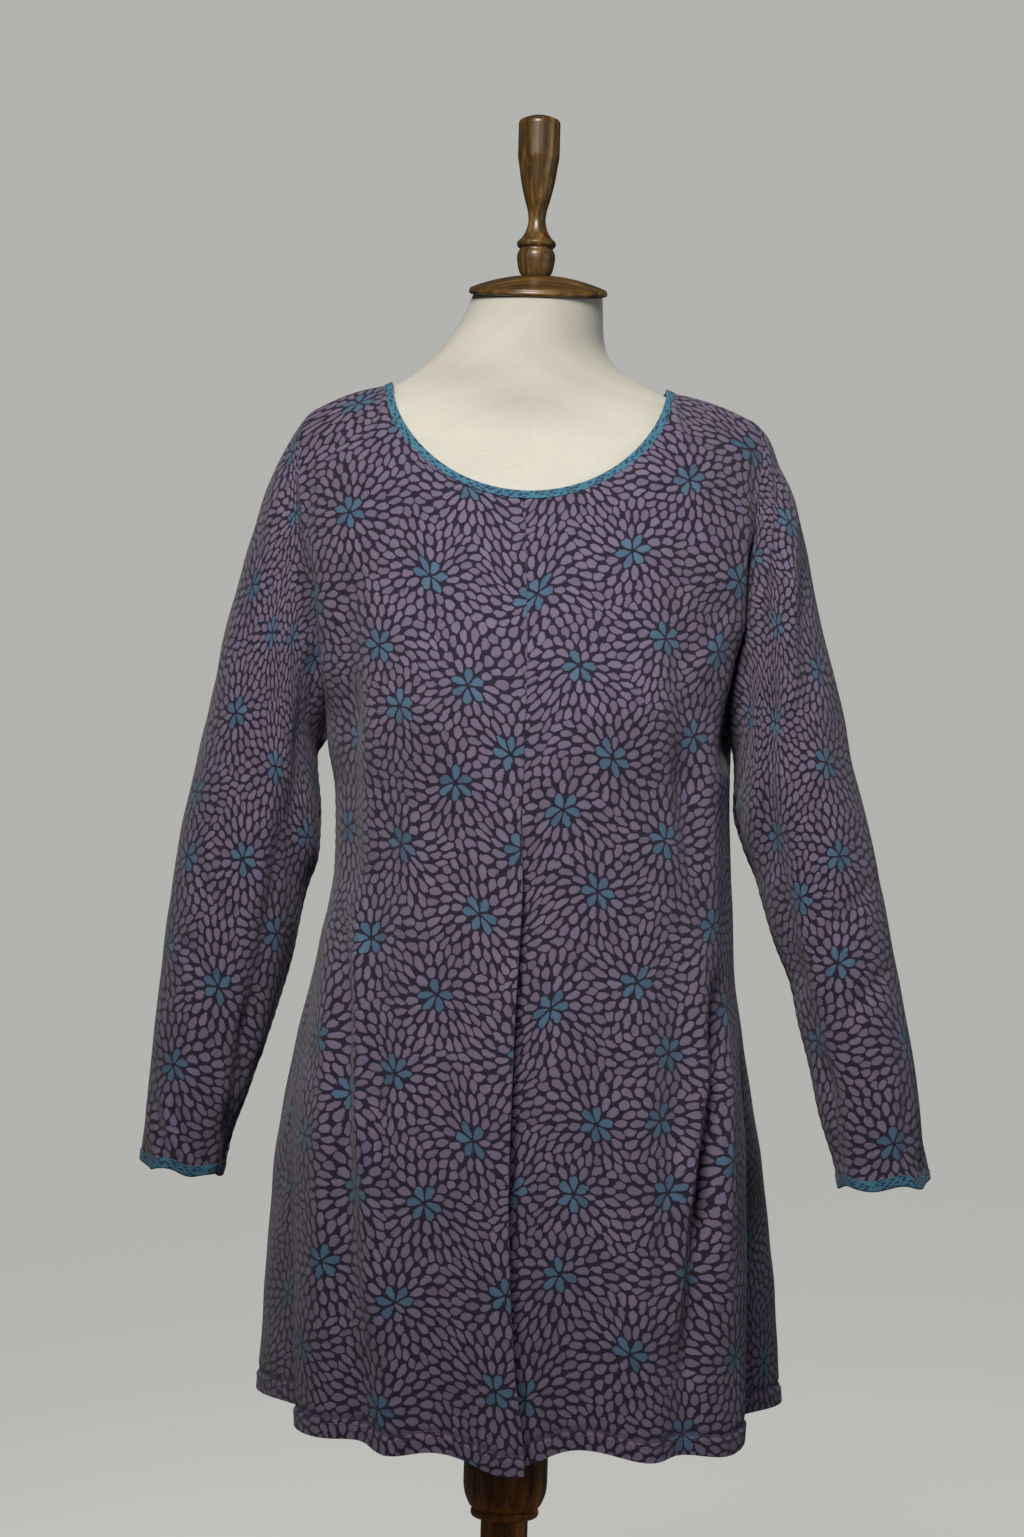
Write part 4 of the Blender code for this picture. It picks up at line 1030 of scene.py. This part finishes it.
def armholeLoop(way, turn):
    """The armhole at each turn from its top, on the finished panels: the front's edge for turns over 0 and
    the back's for the others, at the share of its length that the turn is of half a round. Three loops: the
    edge, the same below the cloth, and a seam allowance further in below it."""
    loops = np.empty((3, len(turn), 3))
    for front in (True, False):
        _, panel, normal, _, _ = (frontLeft if way < 0 else frontRight) if front else back
        atEnd = front or way < 0
        edge, inner = (-1, -1 - sleeveLook["tuck"]) if atEnd else (0, sleeveLook["tuck"])
        kept = panel[:, edge, 2] > bodyLook["armpitZ"] - 0.004
        lines = np.stack([panel[:, edge], panel[:, edge], panel[:, inner]])[:, kept][:, ::-1]
        down = np.stack([normal[:, edge], normal[:, inner]])[:, kept][:, ::-1] * sleeveLook["below"]
        lines[1:] -= down
        long = lengths(lines[0], 0)
        mine = turn >= 0 if front else turn < 0
        at = np.abs(turn[mine]) / np.pi * long[-1]
        for loop, line in zip(loops, lines):
            loop[mine] = alongLine(at, long, line)
    return loops


def sleevePoints(way, turn, share):
    """Rings whose x and z run from the outer to the inner edge by the cosine of the turn and whose y goes out
    by its sine, with a smooth curve through them down from the armhole to the wavy cuff."""
    column = {name: values[:, None] for name, values in sleeveRows[way].items()}
    outer, inner, cosine = column["outerX"], column["innerX"], np.cos(turn)
    x = (outer + inner) / 2 + (outer - inner) / 2 * cosine
    z = (column["outerZ"] + column["innerZ"]) / 2 + (column["outerZ"] - column["innerZ"]) / 2 * cosine
    y = column["midY"] - column["halfDepth"] * np.sin(turn)
    z[-1] += sleeveLook["wave"] * np.cos(sleeveLook["waves"] * turn)
    armhole = armholeLoop(way, turn)[0]
    armhole[:, 0] += way * sleeveLook["out"]
    stack = np.concatenate([armhole[None], np.stack([way * x, y, z], axis=-1)])
    height = stack[..., 2].mean(axis=1)
    return smooth((height[0] - height) / (height[0] - height[-1]), stack, share)


def sleeveSurface(way, turn, share):
    look = sleeveLook
    points = sleevePoints(way, turn, share)
    normal = gridNormals(points) * way
    u, v = lengths(points, 1), lengths(points, 0)
    v = v[-1:] - v
    middle = points.mean(axis=1, keepdims=True)
    facing = points[..., 1] < middle[..., 1]
    push = creased(points, sleeveCreases[way]) * np.where(facing, 1.0, 0.75)
    push += 0.0008 * waves(u, v, 16, 0.030, 0.080, 1.6, 23 + way)
    push += 0.0008 * waves(u, v, 8, 0.04, 0.08, 5, 27 + way)
    push *= ramp(v / 0.012 + 0.25) * ramp((v[:1] - v) / 0.015)
    push = seamed(push, v[:1] - v, u, look["armholeDepth"], 71 + way) + look["armholeDepth"]
    push = seamed(push, np.minimum(u, u[:, -1:] - u), v, look["seamDepth"], 75 + way)
    wave = np.cos(look["waves"] * turn + 0.6) + 0.6 * np.cos(8 * turn + way)
    push = push + look["flare"] * wave * ramp((0.030 - v) / 0.030)
    return points + normal * push[..., None], u, v


def sleevePiece(name, way, shift, lay):
    look = sleeveLook
    gap = look["seamGap"] * np.pi
    turn = np.linspace(-np.pi + gap, np.pi - gap, look["columns"])
    share = spaced(0, 1, look["rows"], tightFirst=1.5, tightLast=1.2, reach=0.03)
    points, u, v = sleeveSurface(way, turn, share)
    _, below, tucked = armholeLoop(way, turn)
    allowance = np.stack([tucked, (tucked + below) / 2, below])
    points, u = np.concatenate([allowance, points]), np.concatenate([u[:1]] * 3 + [u])
    v = v[:1] + np.array([[0.010], [0.006], [0.002]])
    v = np.concatenate([v, lengths(points[3:], 0)[-1:] - lengths(points[3:], 0)])
    uv = np.stack([way * (u - u[:, -1:] / 2), v], axis=-1)
    quads = gridQuads(*points.shape[:2], turned=way < 0)
    return clothPiece(name, points, quads, uv, bodyLook["cloth"], shift, lay)


sleeveLeft = sleevePiece("sleeveLeft", -1, (0.020, 0.110), 52)
sleeveRight = sleevePiece("sleeveRight", 1, (0.175, 0.035), -12)

# Bindings of cotton jersey, printed teal with dark dashes: matt, folded over the cloth's edge
bindingLook = dict(
    neckWidth=0.0060,
    cuffWidth=0.0080,
    over=0.0015,  # how far it lies on the cloth
    leg=0.0006,  # its thickness
    room=0.0009,  # from the cloth's middle to its inner skin
    teal="#2c586c",
    tealPale="#47788c",
    dash="#26384f",
    dashes=(190.0, 420.0, 1.0),  # to a metre, so 5 mm along and 2.4 mm across
    slant=0.5,  # radians that the dashes lean by
    mottles=500.0,  # to a metre, so 2 mm
)
title = "cotton jersey binding, printed teal"
bindingJersey, tree, shader = newMaterial(title, Roughness=0.88, Sheen_Weight=0.10)
shader.inputs["Specular IOR Level"].default_value = 0.25
cloth = add(tree, "UVMap", uv_map="Cloth")
slanted = add(tree, "Mapping", {0: cloth, 2: (0, 0, bindingLook["slant"]), 3: bindingLook["dashes"]})
dashes = add(tree, "TexVoronoi", {"Vector": slanted, "Scale": 1.0, "Randomness": 0.55}, feature="F1")
dashes = add(tree, "MapRange", {0: dashes, 1: 0.38, 2: 0.50}, interpolation_type="SMOOTHSTEP")
mottle = add(tree, "TexNoise", {"Vector": cloth, "Scale": bindingLook["mottles"], "Detail": 3.0})
teal, tealPale = colour(bindingLook["teal"]), colour(bindingLook["tealPale"])
teals = add(tree, "Mix", {0: mottle, 6: teal, 7: tealPale}, 2, data_type="RGBA")
dashed = add(tree, "Mix", {0: dashes, 6: colour(bindingLook["dash"]), 7: teals}, 2, data_type="RGBA")
tree.links.new(dashed, shader.inputs["Base Color"])
bump = add(tree, "Bump", {"Strength": 0.3, "Distance": 0.0004, "Height": mottle})
tree.links.new(bump, shader.inputs["Normal"])


def bindingPiece(name, edge, outward, beyond, width):
    """A strip carried round the loop of an edge: up one side of the cloth, round the edge and down the other,
    as two skins 0.6 mm apart."""
    look = bindingLook
    turns = np.linspace(0, np.pi, 9)[1:-1]
    sections = []
    for half in (look["room"] + look["leg"], look["room"]):
        top = width - (look["room"] + look["leg"])
        legs = np.linspace(-look["over"], top, 6)
        around = np.stack([top + half * np.sin(turns), half * np.cos(turns)], axis=1)
        legOut = np.stack([legs, np.full(6, half)], axis=1)
        legIn = np.stack([legs[::-1], np.full(6, -half)], axis=1)
        sections.append(np.concatenate([legOut, around, legIn]))
    ring = np.concatenate([sections[0], sections[1][::-1]])
    middle = edge - outward * bodyLook["cloth"] / 2
    rings = middle[:, None] + beyond[:, None] * ring[:, :1] + outward[:, None] * ring[:, 1:]
    count, sides = rings.shape[:2]
    rings = np.concatenate([rings, rings[:1]])
    quads = gridQuads(count + 1, sides, closed=True)
    along = lengths(np.concatenate([edge, edge[:1]]), 0)[:, None] + np.zeros(sides)
    section = lengths(ring, 0)[None] + np.zeros((count + 1, 1))
    uv = np.stack([along, section], axis=-1)
    points = rings.reshape(-1, 3)
    outer = pointNormals(points, quads)[: sides * count].reshape(count, sides, 3)[:, 2]
    if (outer * outward).sum() < 0:
        quads = quads[:, ::-1]
    piece = meshObject(name, points, quads, [bindingJersey], uv, sharpAngle=50)
    return weldedLoop(piece)


def weldedLoop(piece):
    """Joins the first and the last ring of a loop, which lie on each other."""
    shape = bmesh.new()
    shape.from_mesh(piece.data)
    bmesh.ops.remove_doubles(shape, verts=shape.verts, dist=1e-6)
    shape.to_mesh(piece.data)
    shape.free()
    return piece


def softened(vectors, reach):
    """The mean of each vector and its neighbours round the loop, as a unit vector."""
    total = sum(np.roll(vectors, k, axis=0) * (reach + 1 - abs(k)) for k in range(-reach, reach + 1))
    return unit(total)


def neckBinding(name):
    share = bodyLook["neckShare"]
    edges, normals = [], []
    for front in (True, False):
        across = np.linspace(-share, share, 150)[:-1] * (1 if front else -1)
        loop = panelPoints(across, np.array([0.955, 0.975, 1.0]), front)
        before, after = (panelPoints(across + step, np.array([0.975]), front)[0] for step in (-0.01, 0.01))
        side, up = after - before, loop[2] - loop[0]
        normal = unit(np.cross(side, up)) if front else unit(np.cross(up, side))
        edges.append(loop[2])
        normals.append(normal)
    edge = np.concatenate(edges)
    centre = edge.mean(axis=0)
    normal = np.concatenate(normals)
    normal = normal * np.sign(((edge - centre) * normal).sum(axis=1, keepdims=True))
    normal = softened(normal, 14)
    tangent = unit(np.roll(edge, -1, axis=0) - np.roll(edge, 1, axis=0))
    beyond = unit(np.cross(normal, tangent))
    if beyond[0, 2] + beyond[75, 2] < 0:
        beyond = -beyond
    return bindingPiece(name, edge, normal, beyond, bindingLook["neckWidth"])


def cuffBinding(name, way):
    turn = np.linspace(-np.pi, np.pi, 160, endpoint=False)
    share = np.append(np.linspace(0, 0.98, 60), [0.99, 1.0])
    points = sleeveSurface(way, np.append(turn, np.pi), share)[0][:, :-1]
    edge, above = points[-1], points[-2]
    beyond = unit(softened(unit(edge - above), 3))
    tangent = unit(np.roll(edge, -1, axis=0) - np.roll(edge, 1, axis=0))
    outward = unit(np.cross(tangent, beyond))
    outward = outward * np.sign(((edge - edge.mean(axis=0)) * outward).sum(axis=1, keepdims=True))
    return bindingPiece(name, edge, outward, beyond, bindingLook["cuffWidth"])


neckBand = neckBinding("neckBinding")
cuffLeft = cuffBinding("cuffBindingLeft", -1)
cuffRight = cuffBinding("cuffBindingRight", 1)
print("bindings made")

# Polyester sewing thread, twisted: a faint sheen and an uneven tone, in two rows of small stitches
stitchLook = dict(length=0.0030, pitch=0.0037, radius=0.00028, lift=0.0003, sink=0.00012)
stitchLook.update(rows=(0.0165, 0.0118), colours=("#43304f", "#6d5779"), twist=900.0)  # 1.1 mm a turn
thread, tree, shader = newMaterial("polyester thread, twisted", Roughness=0.6)
twist = add(tree, "TexCoord", out=3)
twist = add(tree, "TexNoise", {"Vector": twist, "Scale": stitchLook["twist"], "Detail": 2.0})
dark, pale = (colour(code) for code in stitchLook["colours"])
thready = add(tree, "Mix", {0: twist, 6: dark, 7: pale}, 2, data_type="RGBA")
tree.links.new(thready, shader.inputs["Base Color"])


def stitchLine(panel, normal, v, height, margin):
    """Points on a panel at one height up the cloth, the way of the line there, and the normals."""
    row = (v < height).sum(axis=0)
    column = np.arange(v.shape[1])
    share = ((height - v[row - 1, column]) / (v[row, column] - v[row - 1, column]))[:, None]
    line = panel[row - 1, column] * (1 - share) + panel[row, column] * share
    out = normal[row, column]
    long = lengths(line, 0)
    at = np.arange(margin, long[-1] - margin, stitchLook["pitch"])
    place = alongLine(at, long, line)
    return place, unit(np.gradient(place, axis=0)), unit(alongLine(at, long, out))


def stitches(name, lines):
    """Each stitch is a thread's half wave: rings round a low arch from one hole to the next."""
    look = stitchLook
    place, way, up = (np.concatenate(part) for part in zip(*lines))
    along = np.linspace(-0.5, 0.5, 5)
    turns = np.linspace(0, 2 * np.pi, 6, endpoint=False)
    side = np.cross(way, up)
    arch = look["lift"] * np.cos(np.pi * along) - look["sink"]
    thick = look["radius"] * np.array([0.45, 0.9, 1.0, 0.9, 0.45])
    centre = place[:, None] + way[:, None] * (along * look["length"])[:, None] + up[:, None] * arch[:, None]
    around = np.cos(turns)[:, None] * up[:, None, None] + np.sin(turns)[:, None] * side[:, None, None]
    rings = centre[:, :, None] + around * thick[:, None, None]
    ends = np.stack([centre[:, 0] - way * 0.0001, centre[:, -1] + way * 0.0001], axis=1)
    points = np.concatenate([rings.reshape(len(place), -1, 3), ends], axis=1)
    rows, columns = len(along), len(turns)
    quads = gridQuads(rows, columns, closed=True)
    j = np.arange(columns)
    last = (rows - 1) * columns
    capA = np.stack([np.full(columns, rows * columns), (j + 1) % columns, j], axis=1)
    capB = np.stack([np.full(columns, rows * columns + 1), last + j, last + (j + 1) % columns], axis=1)
    step = (np.arange(len(place)) * (rows * columns + 2))[:, None, None]
    faces = [*(quads + step).reshape(-1, 4), *(capA + step).reshape(-1, 3), *(capB + step).reshape(-1, 3)]
    return meshObject(name, points, faces, [thread])


stitchLines = [
    stitchLine(panel, normal, v, height, 0.004)
    for _, panel, normal, _, v in (frontLeft, frontRight, back)
    for height in stitchLook["rows"]
]
hemStitches = stitches("hemStitches", stitchLines)
print("hem sewn:", sum(len(line[0]) for line in stitchLines), "stitches")

# The form: stretched linen in plain weave, cream and matt, its threads just visible
formLook = dict(columns=160, rows=190, shoulderZ=1.34, evenings=90, bareHalf=0.122, bareZ=1.352)
formLook.update(capCentre=(0.0005, -0.012, 1.4788), thread=0.0011, cream=("#b3b0a4", "#c8c5b9"))
formLook.update(slubs=(90, 900, 1), tones=18.0)  # to a metre: thick threads of 11 by 1.1 mm, tones of 55 mm
# Sections from the underside to the neck: height, half width, lean to the right, depths, tilt in degrees, and
# the power of the cosine, which makes a section fuller below 1 and flatter above it
formRows = table(
    "z half lean front back tilt full",
    (0.655, 0.135, 0.001, 0.090, 0.098, 0, 0.86),
    (0.670, 0.146, 0.001, 0.101, 0.108, 0, 0.86),
    (0.720, 0.157, 0.002, 0.110, 0.117, 0, 0.86),
    (0.790, 0.162, 0.003, 0.113, 0.121, 0, 0.86),
    (0.860, 0.152, 0.004, 0.110, 0.112, 0, 0.86),
    (0.930, 0.135, 0.004, 0.102, 0.097, 0, 0.86),
    (0.990, 0.128, 0.004, 0.100, 0.092, 0, 0.86),
    (1.050, 0.140, 0.004, 0.110, 0.096, 0, 0.86),
    (1.100, 0.150, 0.003, 0.123, 0.1065, 0, 0.86),
    (1.140, 0.152, 0.001, 0.124, 0.1089, 0, 0.86),
    (1.190, 0.151, 0.000, 0.113, 0.1106, 0, 0.88),
    (1.240, 0.158, 0.000, 0.094, 0.1091, 0, 0.92),
    (1.290, 0.168, 0.000, 0.0765, 0.1035, 0, 1.00),
    (1.330, 0.1745, 0.000, 0.066, 0.0950, 0, 1.25),
    (1.352, 0.1765, -0.001, 0.061, 0.0870, 0, 1.50),
    (1.370, 0.1740, -0.0015, 0.058, 0.0790, 0, 2.10),
    (1.381, 0.1640, -0.0045, 0.058, 0.0720, 0, 2.80),
    (1.388, 0.1480, -0.0055, 0.060, 0.0670, 0, 3.10),
    (1.394, 0.1300, -0.007, 0.062, 0.0650, 0, 3.10),
    (1.398, 0.1140, -0.008, 0.062, 0.0630, 0, 2.70),
    (1.404, 0.1020, -0.0075, 0.061, 0.060, 1, 1.85),
    (1.413, 0.086, -0.012, 0.062, 0.057, 2, 1.25),
    (1.426, 0.073, -0.012, 0.062, 0.051, 4, 1.00),
    (1.440, 0.065, -0.009, 0.063, 0.046, 6, 0.95),
    (1.458, 0.0585, -0.003, 0.064, 0.042, 8, 0.90),
    (1.4785, 0.0540, 0.0005, 0.0665, 0.0425, 9, 0.90),
)
linen, tree, shader = newMaterial("linen, plain weave", Roughness=0.9, Sheen_Weight=0.08)
shader.inputs["Specular IOR Level"].default_value = 0.3
cloth = add(tree, "UVMap", uv_map="Cloth")
# Threads run up and round; real ones are 0.5 mm, drawn at 1.1 mm so that they show
warp = {"Vector": cloth, "Scale": 1 / formLook["thread"] / waveTurns, "Distortion": 1.2, "Detail": 2.0}
upright = add(tree, "TexWave", warp, out=1, bands_direction="X")
level = add(tree, "TexWave", warp, out=1, bands_direction="Y")
weave = add(tree, "Math", {0: upright, 1: level}, operation="MULTIPLY")
slub = add(tree, "Mapping", {0: cloth, 3: formLook["slubs"]})
slub = add(tree, "TexNoise", {"Vector": slub, "Scale": 1.0, "Detail": 3.0})
broad = add(tree, "TexNoise", {"Vector": cloth, "Scale": formLook["tones"], "Detail": 3.0})
dark, pale = (colour(code) for code in formLook["cream"])
cream = add(tree, "Mix", {0: slub, 6: dark, 7: pale}, 2, data_type="RGBA")
tone = add(tree, "MapRange", {0: broad, 1: 0.3, 2: 0.7, 3: 0.96, 4: 1.03})
cream = add(tree, "VectorMath", {0: cream, "Scale": tone}, operation="SCALE")
tree.links.new(cream, shader.inputs["Base Color"])
height = add(tree, "Math", {0: slub, 1: 0.5, 2: weave}, operation="MULTIPLY_ADD")
bump = add(tree, "Bump", {"Strength": 0.28, "Distance": 0.0003, "Height": height})
tree.links.new(bump, shader.inputs["Normal"])


def formPiece(name):
    """Closed sections: x by the sine of the turn, y by a power of its cosine, with a depth to the front and
    another to the back, and z tilted."""
    turn = np.linspace(0, 2 * np.pi, formLook["columns"], endpoint=False)
    knots = formRows["z"]
    low = np.linspace(knots[0], formLook["shoulderZ"], formLook["rows"] // 2)
    high = np.linspace(formLook["shoulderZ"], knots[-1], formLook["rows"] // 2)[1:]
    heights = np.concatenate([low, high])
    column = {key: smooth(knots, values, heights)[:, None] for key, values in formRows.items()}
    cosine = np.cos(turn)
    reach = np.where(cosine > 0, column["front"], column["back"])
    x = column["lean"] + column["half"] * np.sin(turn)
    y = -reach * np.sign(cosine) * np.abs(cosine) ** column["full"]
    z = column["z"] + np.tan(np.radians(column["tilt"])) * (y - formLook["capCentre"][1])
    points = np.stack([x, y, z], axis=-1)
    soft = points.copy()  # the bare neck is evened out: each ring becomes the mean of those within 9 mm
    for _ in range(formLook["evenings"]):
        soft[1:-1] = (soft[:-2] + 2 * soft[1:-1] + soft[2:]) / 4
    near = ramp((formLook["bareHalf"] - np.abs(x)) / 0.012) * ramp((z - formLook["bareZ"]) / 0.02)
    near = near * ramp((knots[-1] - 0.002 - z) / 0.012)
    points = points + (soft - points) * near[..., None]
    ends = [points[k].mean(axis=0) for k in (0, -1)]
    rings = [ends[0] + (points[0] - ends[0]) * s for s in (0.0005, 0.5, 0.93)]
    rings += [*points, *[ends[1] + (points[-1] - ends[1]) * s for s in (0.95, 0.5, 0.0005)]]
    points = np.array(rings)
    points = np.concatenate([points, points[:, :1]], axis=1)
    around = lengths(points, 1)
    uv = np.stack([around - around[:, -1:] / 2, lengths(points, 0)], axis=-1)
    piece = meshObject(name, points, gridQuads(*points.shape[:2]), [linen], uv, sharpAngle=40)
    return weldedLoop(piece)


form = formPiece("formTorso")
print("form made")

# Turned beech, stained dark brown and varnished to a satin: grain along the length, and a soft bright coat
woodLook = dict(
    knob=("#2a1a0b", "#59401c", "#947038"),  # the dark, middle and pale of the stain
    # the stand's stain is warmer and much paler than the knob's: partly its own colour, partly painted light
    # making up for the shade the skirt casts on the drum and pole
    stand=("#5a3310", "#ab681e", "#e39b40"),
    bands=130.0,  # to a metre across the grain, so 8 mm, the width of beech's broader figure
    pores=900.0,  # to a metre across the grain, so 1.1 mm; real ones are finer, drawn coarse so that they show
    along=0.09,  # how far the grain is drawn out along the wood
)


def woodMaterial(name, stains, acrossGrain=False):
    material, tree, shader = newMaterial(name, Roughness=0.36, Coat_Weight=0.14, Coat_Roughness=0.22)
    spot = add(tree, "TexCoord", out=3)
    along = woodLook["along"]
    grain = add(tree, "Mapping", {0: spot, 3: (along, 1.0, 1.0) if acrossGrain else (1.0, 1.0, along)})
    bands = {"Vector": grain, "Scale": woodLook["bands"], "Detail": 5.0, "Roughness": 0.62, "Distortion": 0.6}
    bands = add(tree, "TexNoise", bands)
    fine = add(tree, "TexNoise", {"Vector": grain, "Scale": woodLook["pores"], "Detail": 2.0})
    stain = add(tree, "ValToRGB", {0: bands})
    stops = stain.node.color_ramp.elements
    stops[0].position, stops[0].color = 0.34, colour(stains[0])
    stops[1].position, stops[1].color = 0.72, colour(stains[2])
    stops.new(0.52).color = colour(stains[1])
    pores = add(tree, "MapRange", {0: fine, 1: 0.30, 2: 0.52, 3: 0.72, 4: 1.0})
    stain = add(tree, "VectorMath", {0: stain, "Scale": pores}, operation="SCALE")
    tree.links.new(stain, shader.inputs["Base Color"])
    rough = add(tree, "MapRange", {0: bands, 1: 0.3, 2: 0.7, 3: 0.44, 4: 0.30})
    tree.links.new(rough, shader.inputs["Roughness"])
    bump = add(tree, "Bump", {"Strength": 0.12, "Distance": 0.0003, "Height": fine})
    tree.links.new(bump, shader.inputs["Normal"])
    return material


wood = woodMaterial("beech knob, stained and satin varnished", woodLook["knob"])
woodAcross = woodMaterial("beech disc, stained and satin varnished", woodLook["knob"], acrossGrain=True)
# the stand and base use the paler stain, painted lighter to stand in for light that the skirt's shade takes
# away
standWoodPaintedLighter = woodMaterial("beech stand, stained and satin varnished", woodLook["stand"])
standAcrossPaintedLighter = woodMaterial("beech base, stained and satin varnished", woodLook["stand"], acrossGrain=True)
# Cap, knob, collar, pole and base, each as (radius, z) points from the top down
capTilt = math.radians(9)  # the cap lies square to the neck, which leans forward
capUp = np.array([0.0, -math.sin(capTilt), math.cos(capTilt)])
capFoot = np.array(formLook["capCentre"]) + capUp * 0.0003  # a hair above the linen


def turnedPiece(name, profile, material, place=(0, 0, 0), tilt=0, columns=96, steps=None, footSlope=0):
    """A piece turned on a lathe: a smooth curve through the profile's (radius, z) points, carried round. Its
    lowest 12 mm lean into the slope of what it stands on."""
    profile = np.array(profile, float)
    if steps:
        long = lengths(profile, 0)
        profile = smooth(long, profile, np.sort(np.append(np.linspace(0, long[-1], steps), long[1:-1])))
    profile[:, 0] = np.maximum(profile[:, 0], 1e-5)
    points = revolved(profile, columns)
    fall = footSlope * points[..., 1] - profile[:, :1] ** 2 / (2 * domeRadius) * (footSlope > 0)
    points[..., 2] += fall * (1 - ramp(points[..., 2] / 0.012))
    y, z = points[..., 1].copy(), points[..., 2].copy()
    points[..., 1], points[..., 2] = y * np.cos(tilt) - z * np.sin(tilt), y * np.sin(tilt) + z * np.cos(tilt)
    points += np.array(place)
    quads = gridQuads(len(profile), columns, turned=True, closed=True)
    return meshObject(name, points, quads, [material], sharpAngle=35)


capRim, capDome, capRadius = 0.0050, 0.0120, 0.0575
domeRadius = (capRadius**2 + capDome**2) / (2 * capDome)
share = np.linspace(0, 1, 26)
domeR = share * (capRadius - 0.0014)
domeZ = capRim + capDome - domeRadius + np.sqrt(domeRadius**2 - domeR**2)
rimTurn = np.linspace(0.75, -np.pi / 2, 12)
rim = np.stack([capRadius - 0.0022 + 0.0022 * np.cos(rimTurn), 0.0024 + 0.0024 * np.sin(rimTurn)], axis=1)
capProfile = np.concatenate([np.stack([domeR, domeZ], axis=1), rim, [[0.030, 0.0], [0.0, 0.0]]])
neckCap = turnedPiece("neckCap", capProfile, woodAcross, capFoot, capTilt, columns=128)

apex = capFoot + capUp * (capRim + capDome)
knob = [(0, 0.1325), (0.0045, 0.1323), (0.0090, 0.1313), (0.0130, 0.1298), (0.0158, 0.1284), (0.0170, 0.1266)]
knob += [(0.0173, 0.1245), (0.0173, 0.1120), (0.0173, 0.0995), (0.0160, 0.0900), (0.0140, 0.0770)]
knob += [(0.0105, 0.0620), (0.0078, 0.0520), (0.0071, 0.0455), (0.0085, 0.0380), (0.0125, 0.0305)]
knob += [(0.0155, 0.0276), (0.0162, 0.0262), (0.0161, 0.0246), (0.0152, 0.0230), (0.0138, 0.0219)]
knob += [(0.0139, 0.0207), (0.0150, 0.0188), (0.0158, 0.0160), (0.0159, 0.0135), (0.0155, 0.0105)]
knob += [(0.0149, 0.0070), (0.0137, 0.0030), (0.0122, 0.0004), (0.0115, 0), (0, 0)]
knobPlace = (-0.0020, apex[1], apex[2] - 0.0002)
finial = turnedPiece("finialKnob", knob, wood, knobPlace, steps=150, footSlope=math.tan(capTilt))

drumTop, drumRadius, drumFoot = 0.6547, 0.0350, 0.4635
drum = [(0, drumTop), (0.020, drumTop), (drumRadius - 0.002, drumTop), (drumRadius, drumTop - 0.002)]
drum += [(drumRadius, 0.58), (drumRadius, 0.4930), (0.0342, 0.4850), (0.0318, 0.4775), (0.0288, 0.4722)]
drum += [(0.0272, 0.4711), (0.0268, 0.4703), (0.0279, 0.4694), (0.0284, 0.4675), (0.0280, 0.4652)]
drum += [(0.0264, drumFoot), (0.010, drumFoot), (0, drumFoot)]
standDrum = turnedPiece("standDrum", drum, standWoodPaintedLighter, steps=120)

poleTop, poleFoot, poleRadius = drumFoot - 0.0003, 0.0343, 0.0196
pole = [(0, poleTop), (0.010, poleTop), (poleRadius - 0.001, poleTop), (poleRadius, poleTop - 0.001)]
pole += [(poleRadius, 0.30), (poleRadius, 0.12), (poleRadius, poleFoot), (0.010, poleFoot), (0, poleFoot)]
standPole = turnedPiece("standPole", pole, standWoodPaintedLighter, steps=60)

baseTurn = np.linspace(np.radians(80), 0, 8)
baseRadius, baseHeight, soft = 0.190, 0.034, 0.008
base = [(0, baseHeight), (0.030, baseHeight), (0.044, baseHeight), (0.047, baseHeight - 0.001)]
base += [(0.053, baseHeight - 0.0055), (0.057, baseHeight - 0.0064), (0.120, baseHeight - 0.0103)]
edge = np.stack([np.cos(baseTurn) - 1, np.sin(baseTurn) - 1], axis=1) * soft
base += [(baseRadius + out, baseHeight - 0.014 + up) for out, up in edge]
base += [(baseRadius, 0.008), (baseRadius, 0.002), (baseRadius - 0.002, 0), (0.10, 0), (0, 0)]
standBase = turnedPiece("standBase", base, standAcrossPaintedLighter, columns=160, steps=110)
print("wood turned")

# Every piece rides on the one body and stands for its CAD node
ridden = dict(
    printed_jersey=[
        (frontLeft[0], "front_left"),
        (frontRight[0], "front_right"),
        (back[0], "back"),
        (underlay, "pleat_underlay"),
        (sleeveLeft, "sleeve_left"),
        (sleeveRight, "sleeve_right"),
    ],
    teal_binding=[
        (neckBand, "neck_binding"),
        (cuffLeft, "cuff_binding_left"),
        (cuffRight, "cuff_binding_right"),
    ],
    linen=[(form, "form_torso")],
    turned_wood=[
        (neckCap, "neck_cap"),
        (finial, "finial"),
        (standDrum, "stand_drum"),
        (standPole, "stand_pole"),
        (standBase, "stand_base"),
    ],
)
for finish, pieces in ridden.items():
    for piece, node in pieces:
        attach(piece, "root")
        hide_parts(node)
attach(hemStitches, "root")
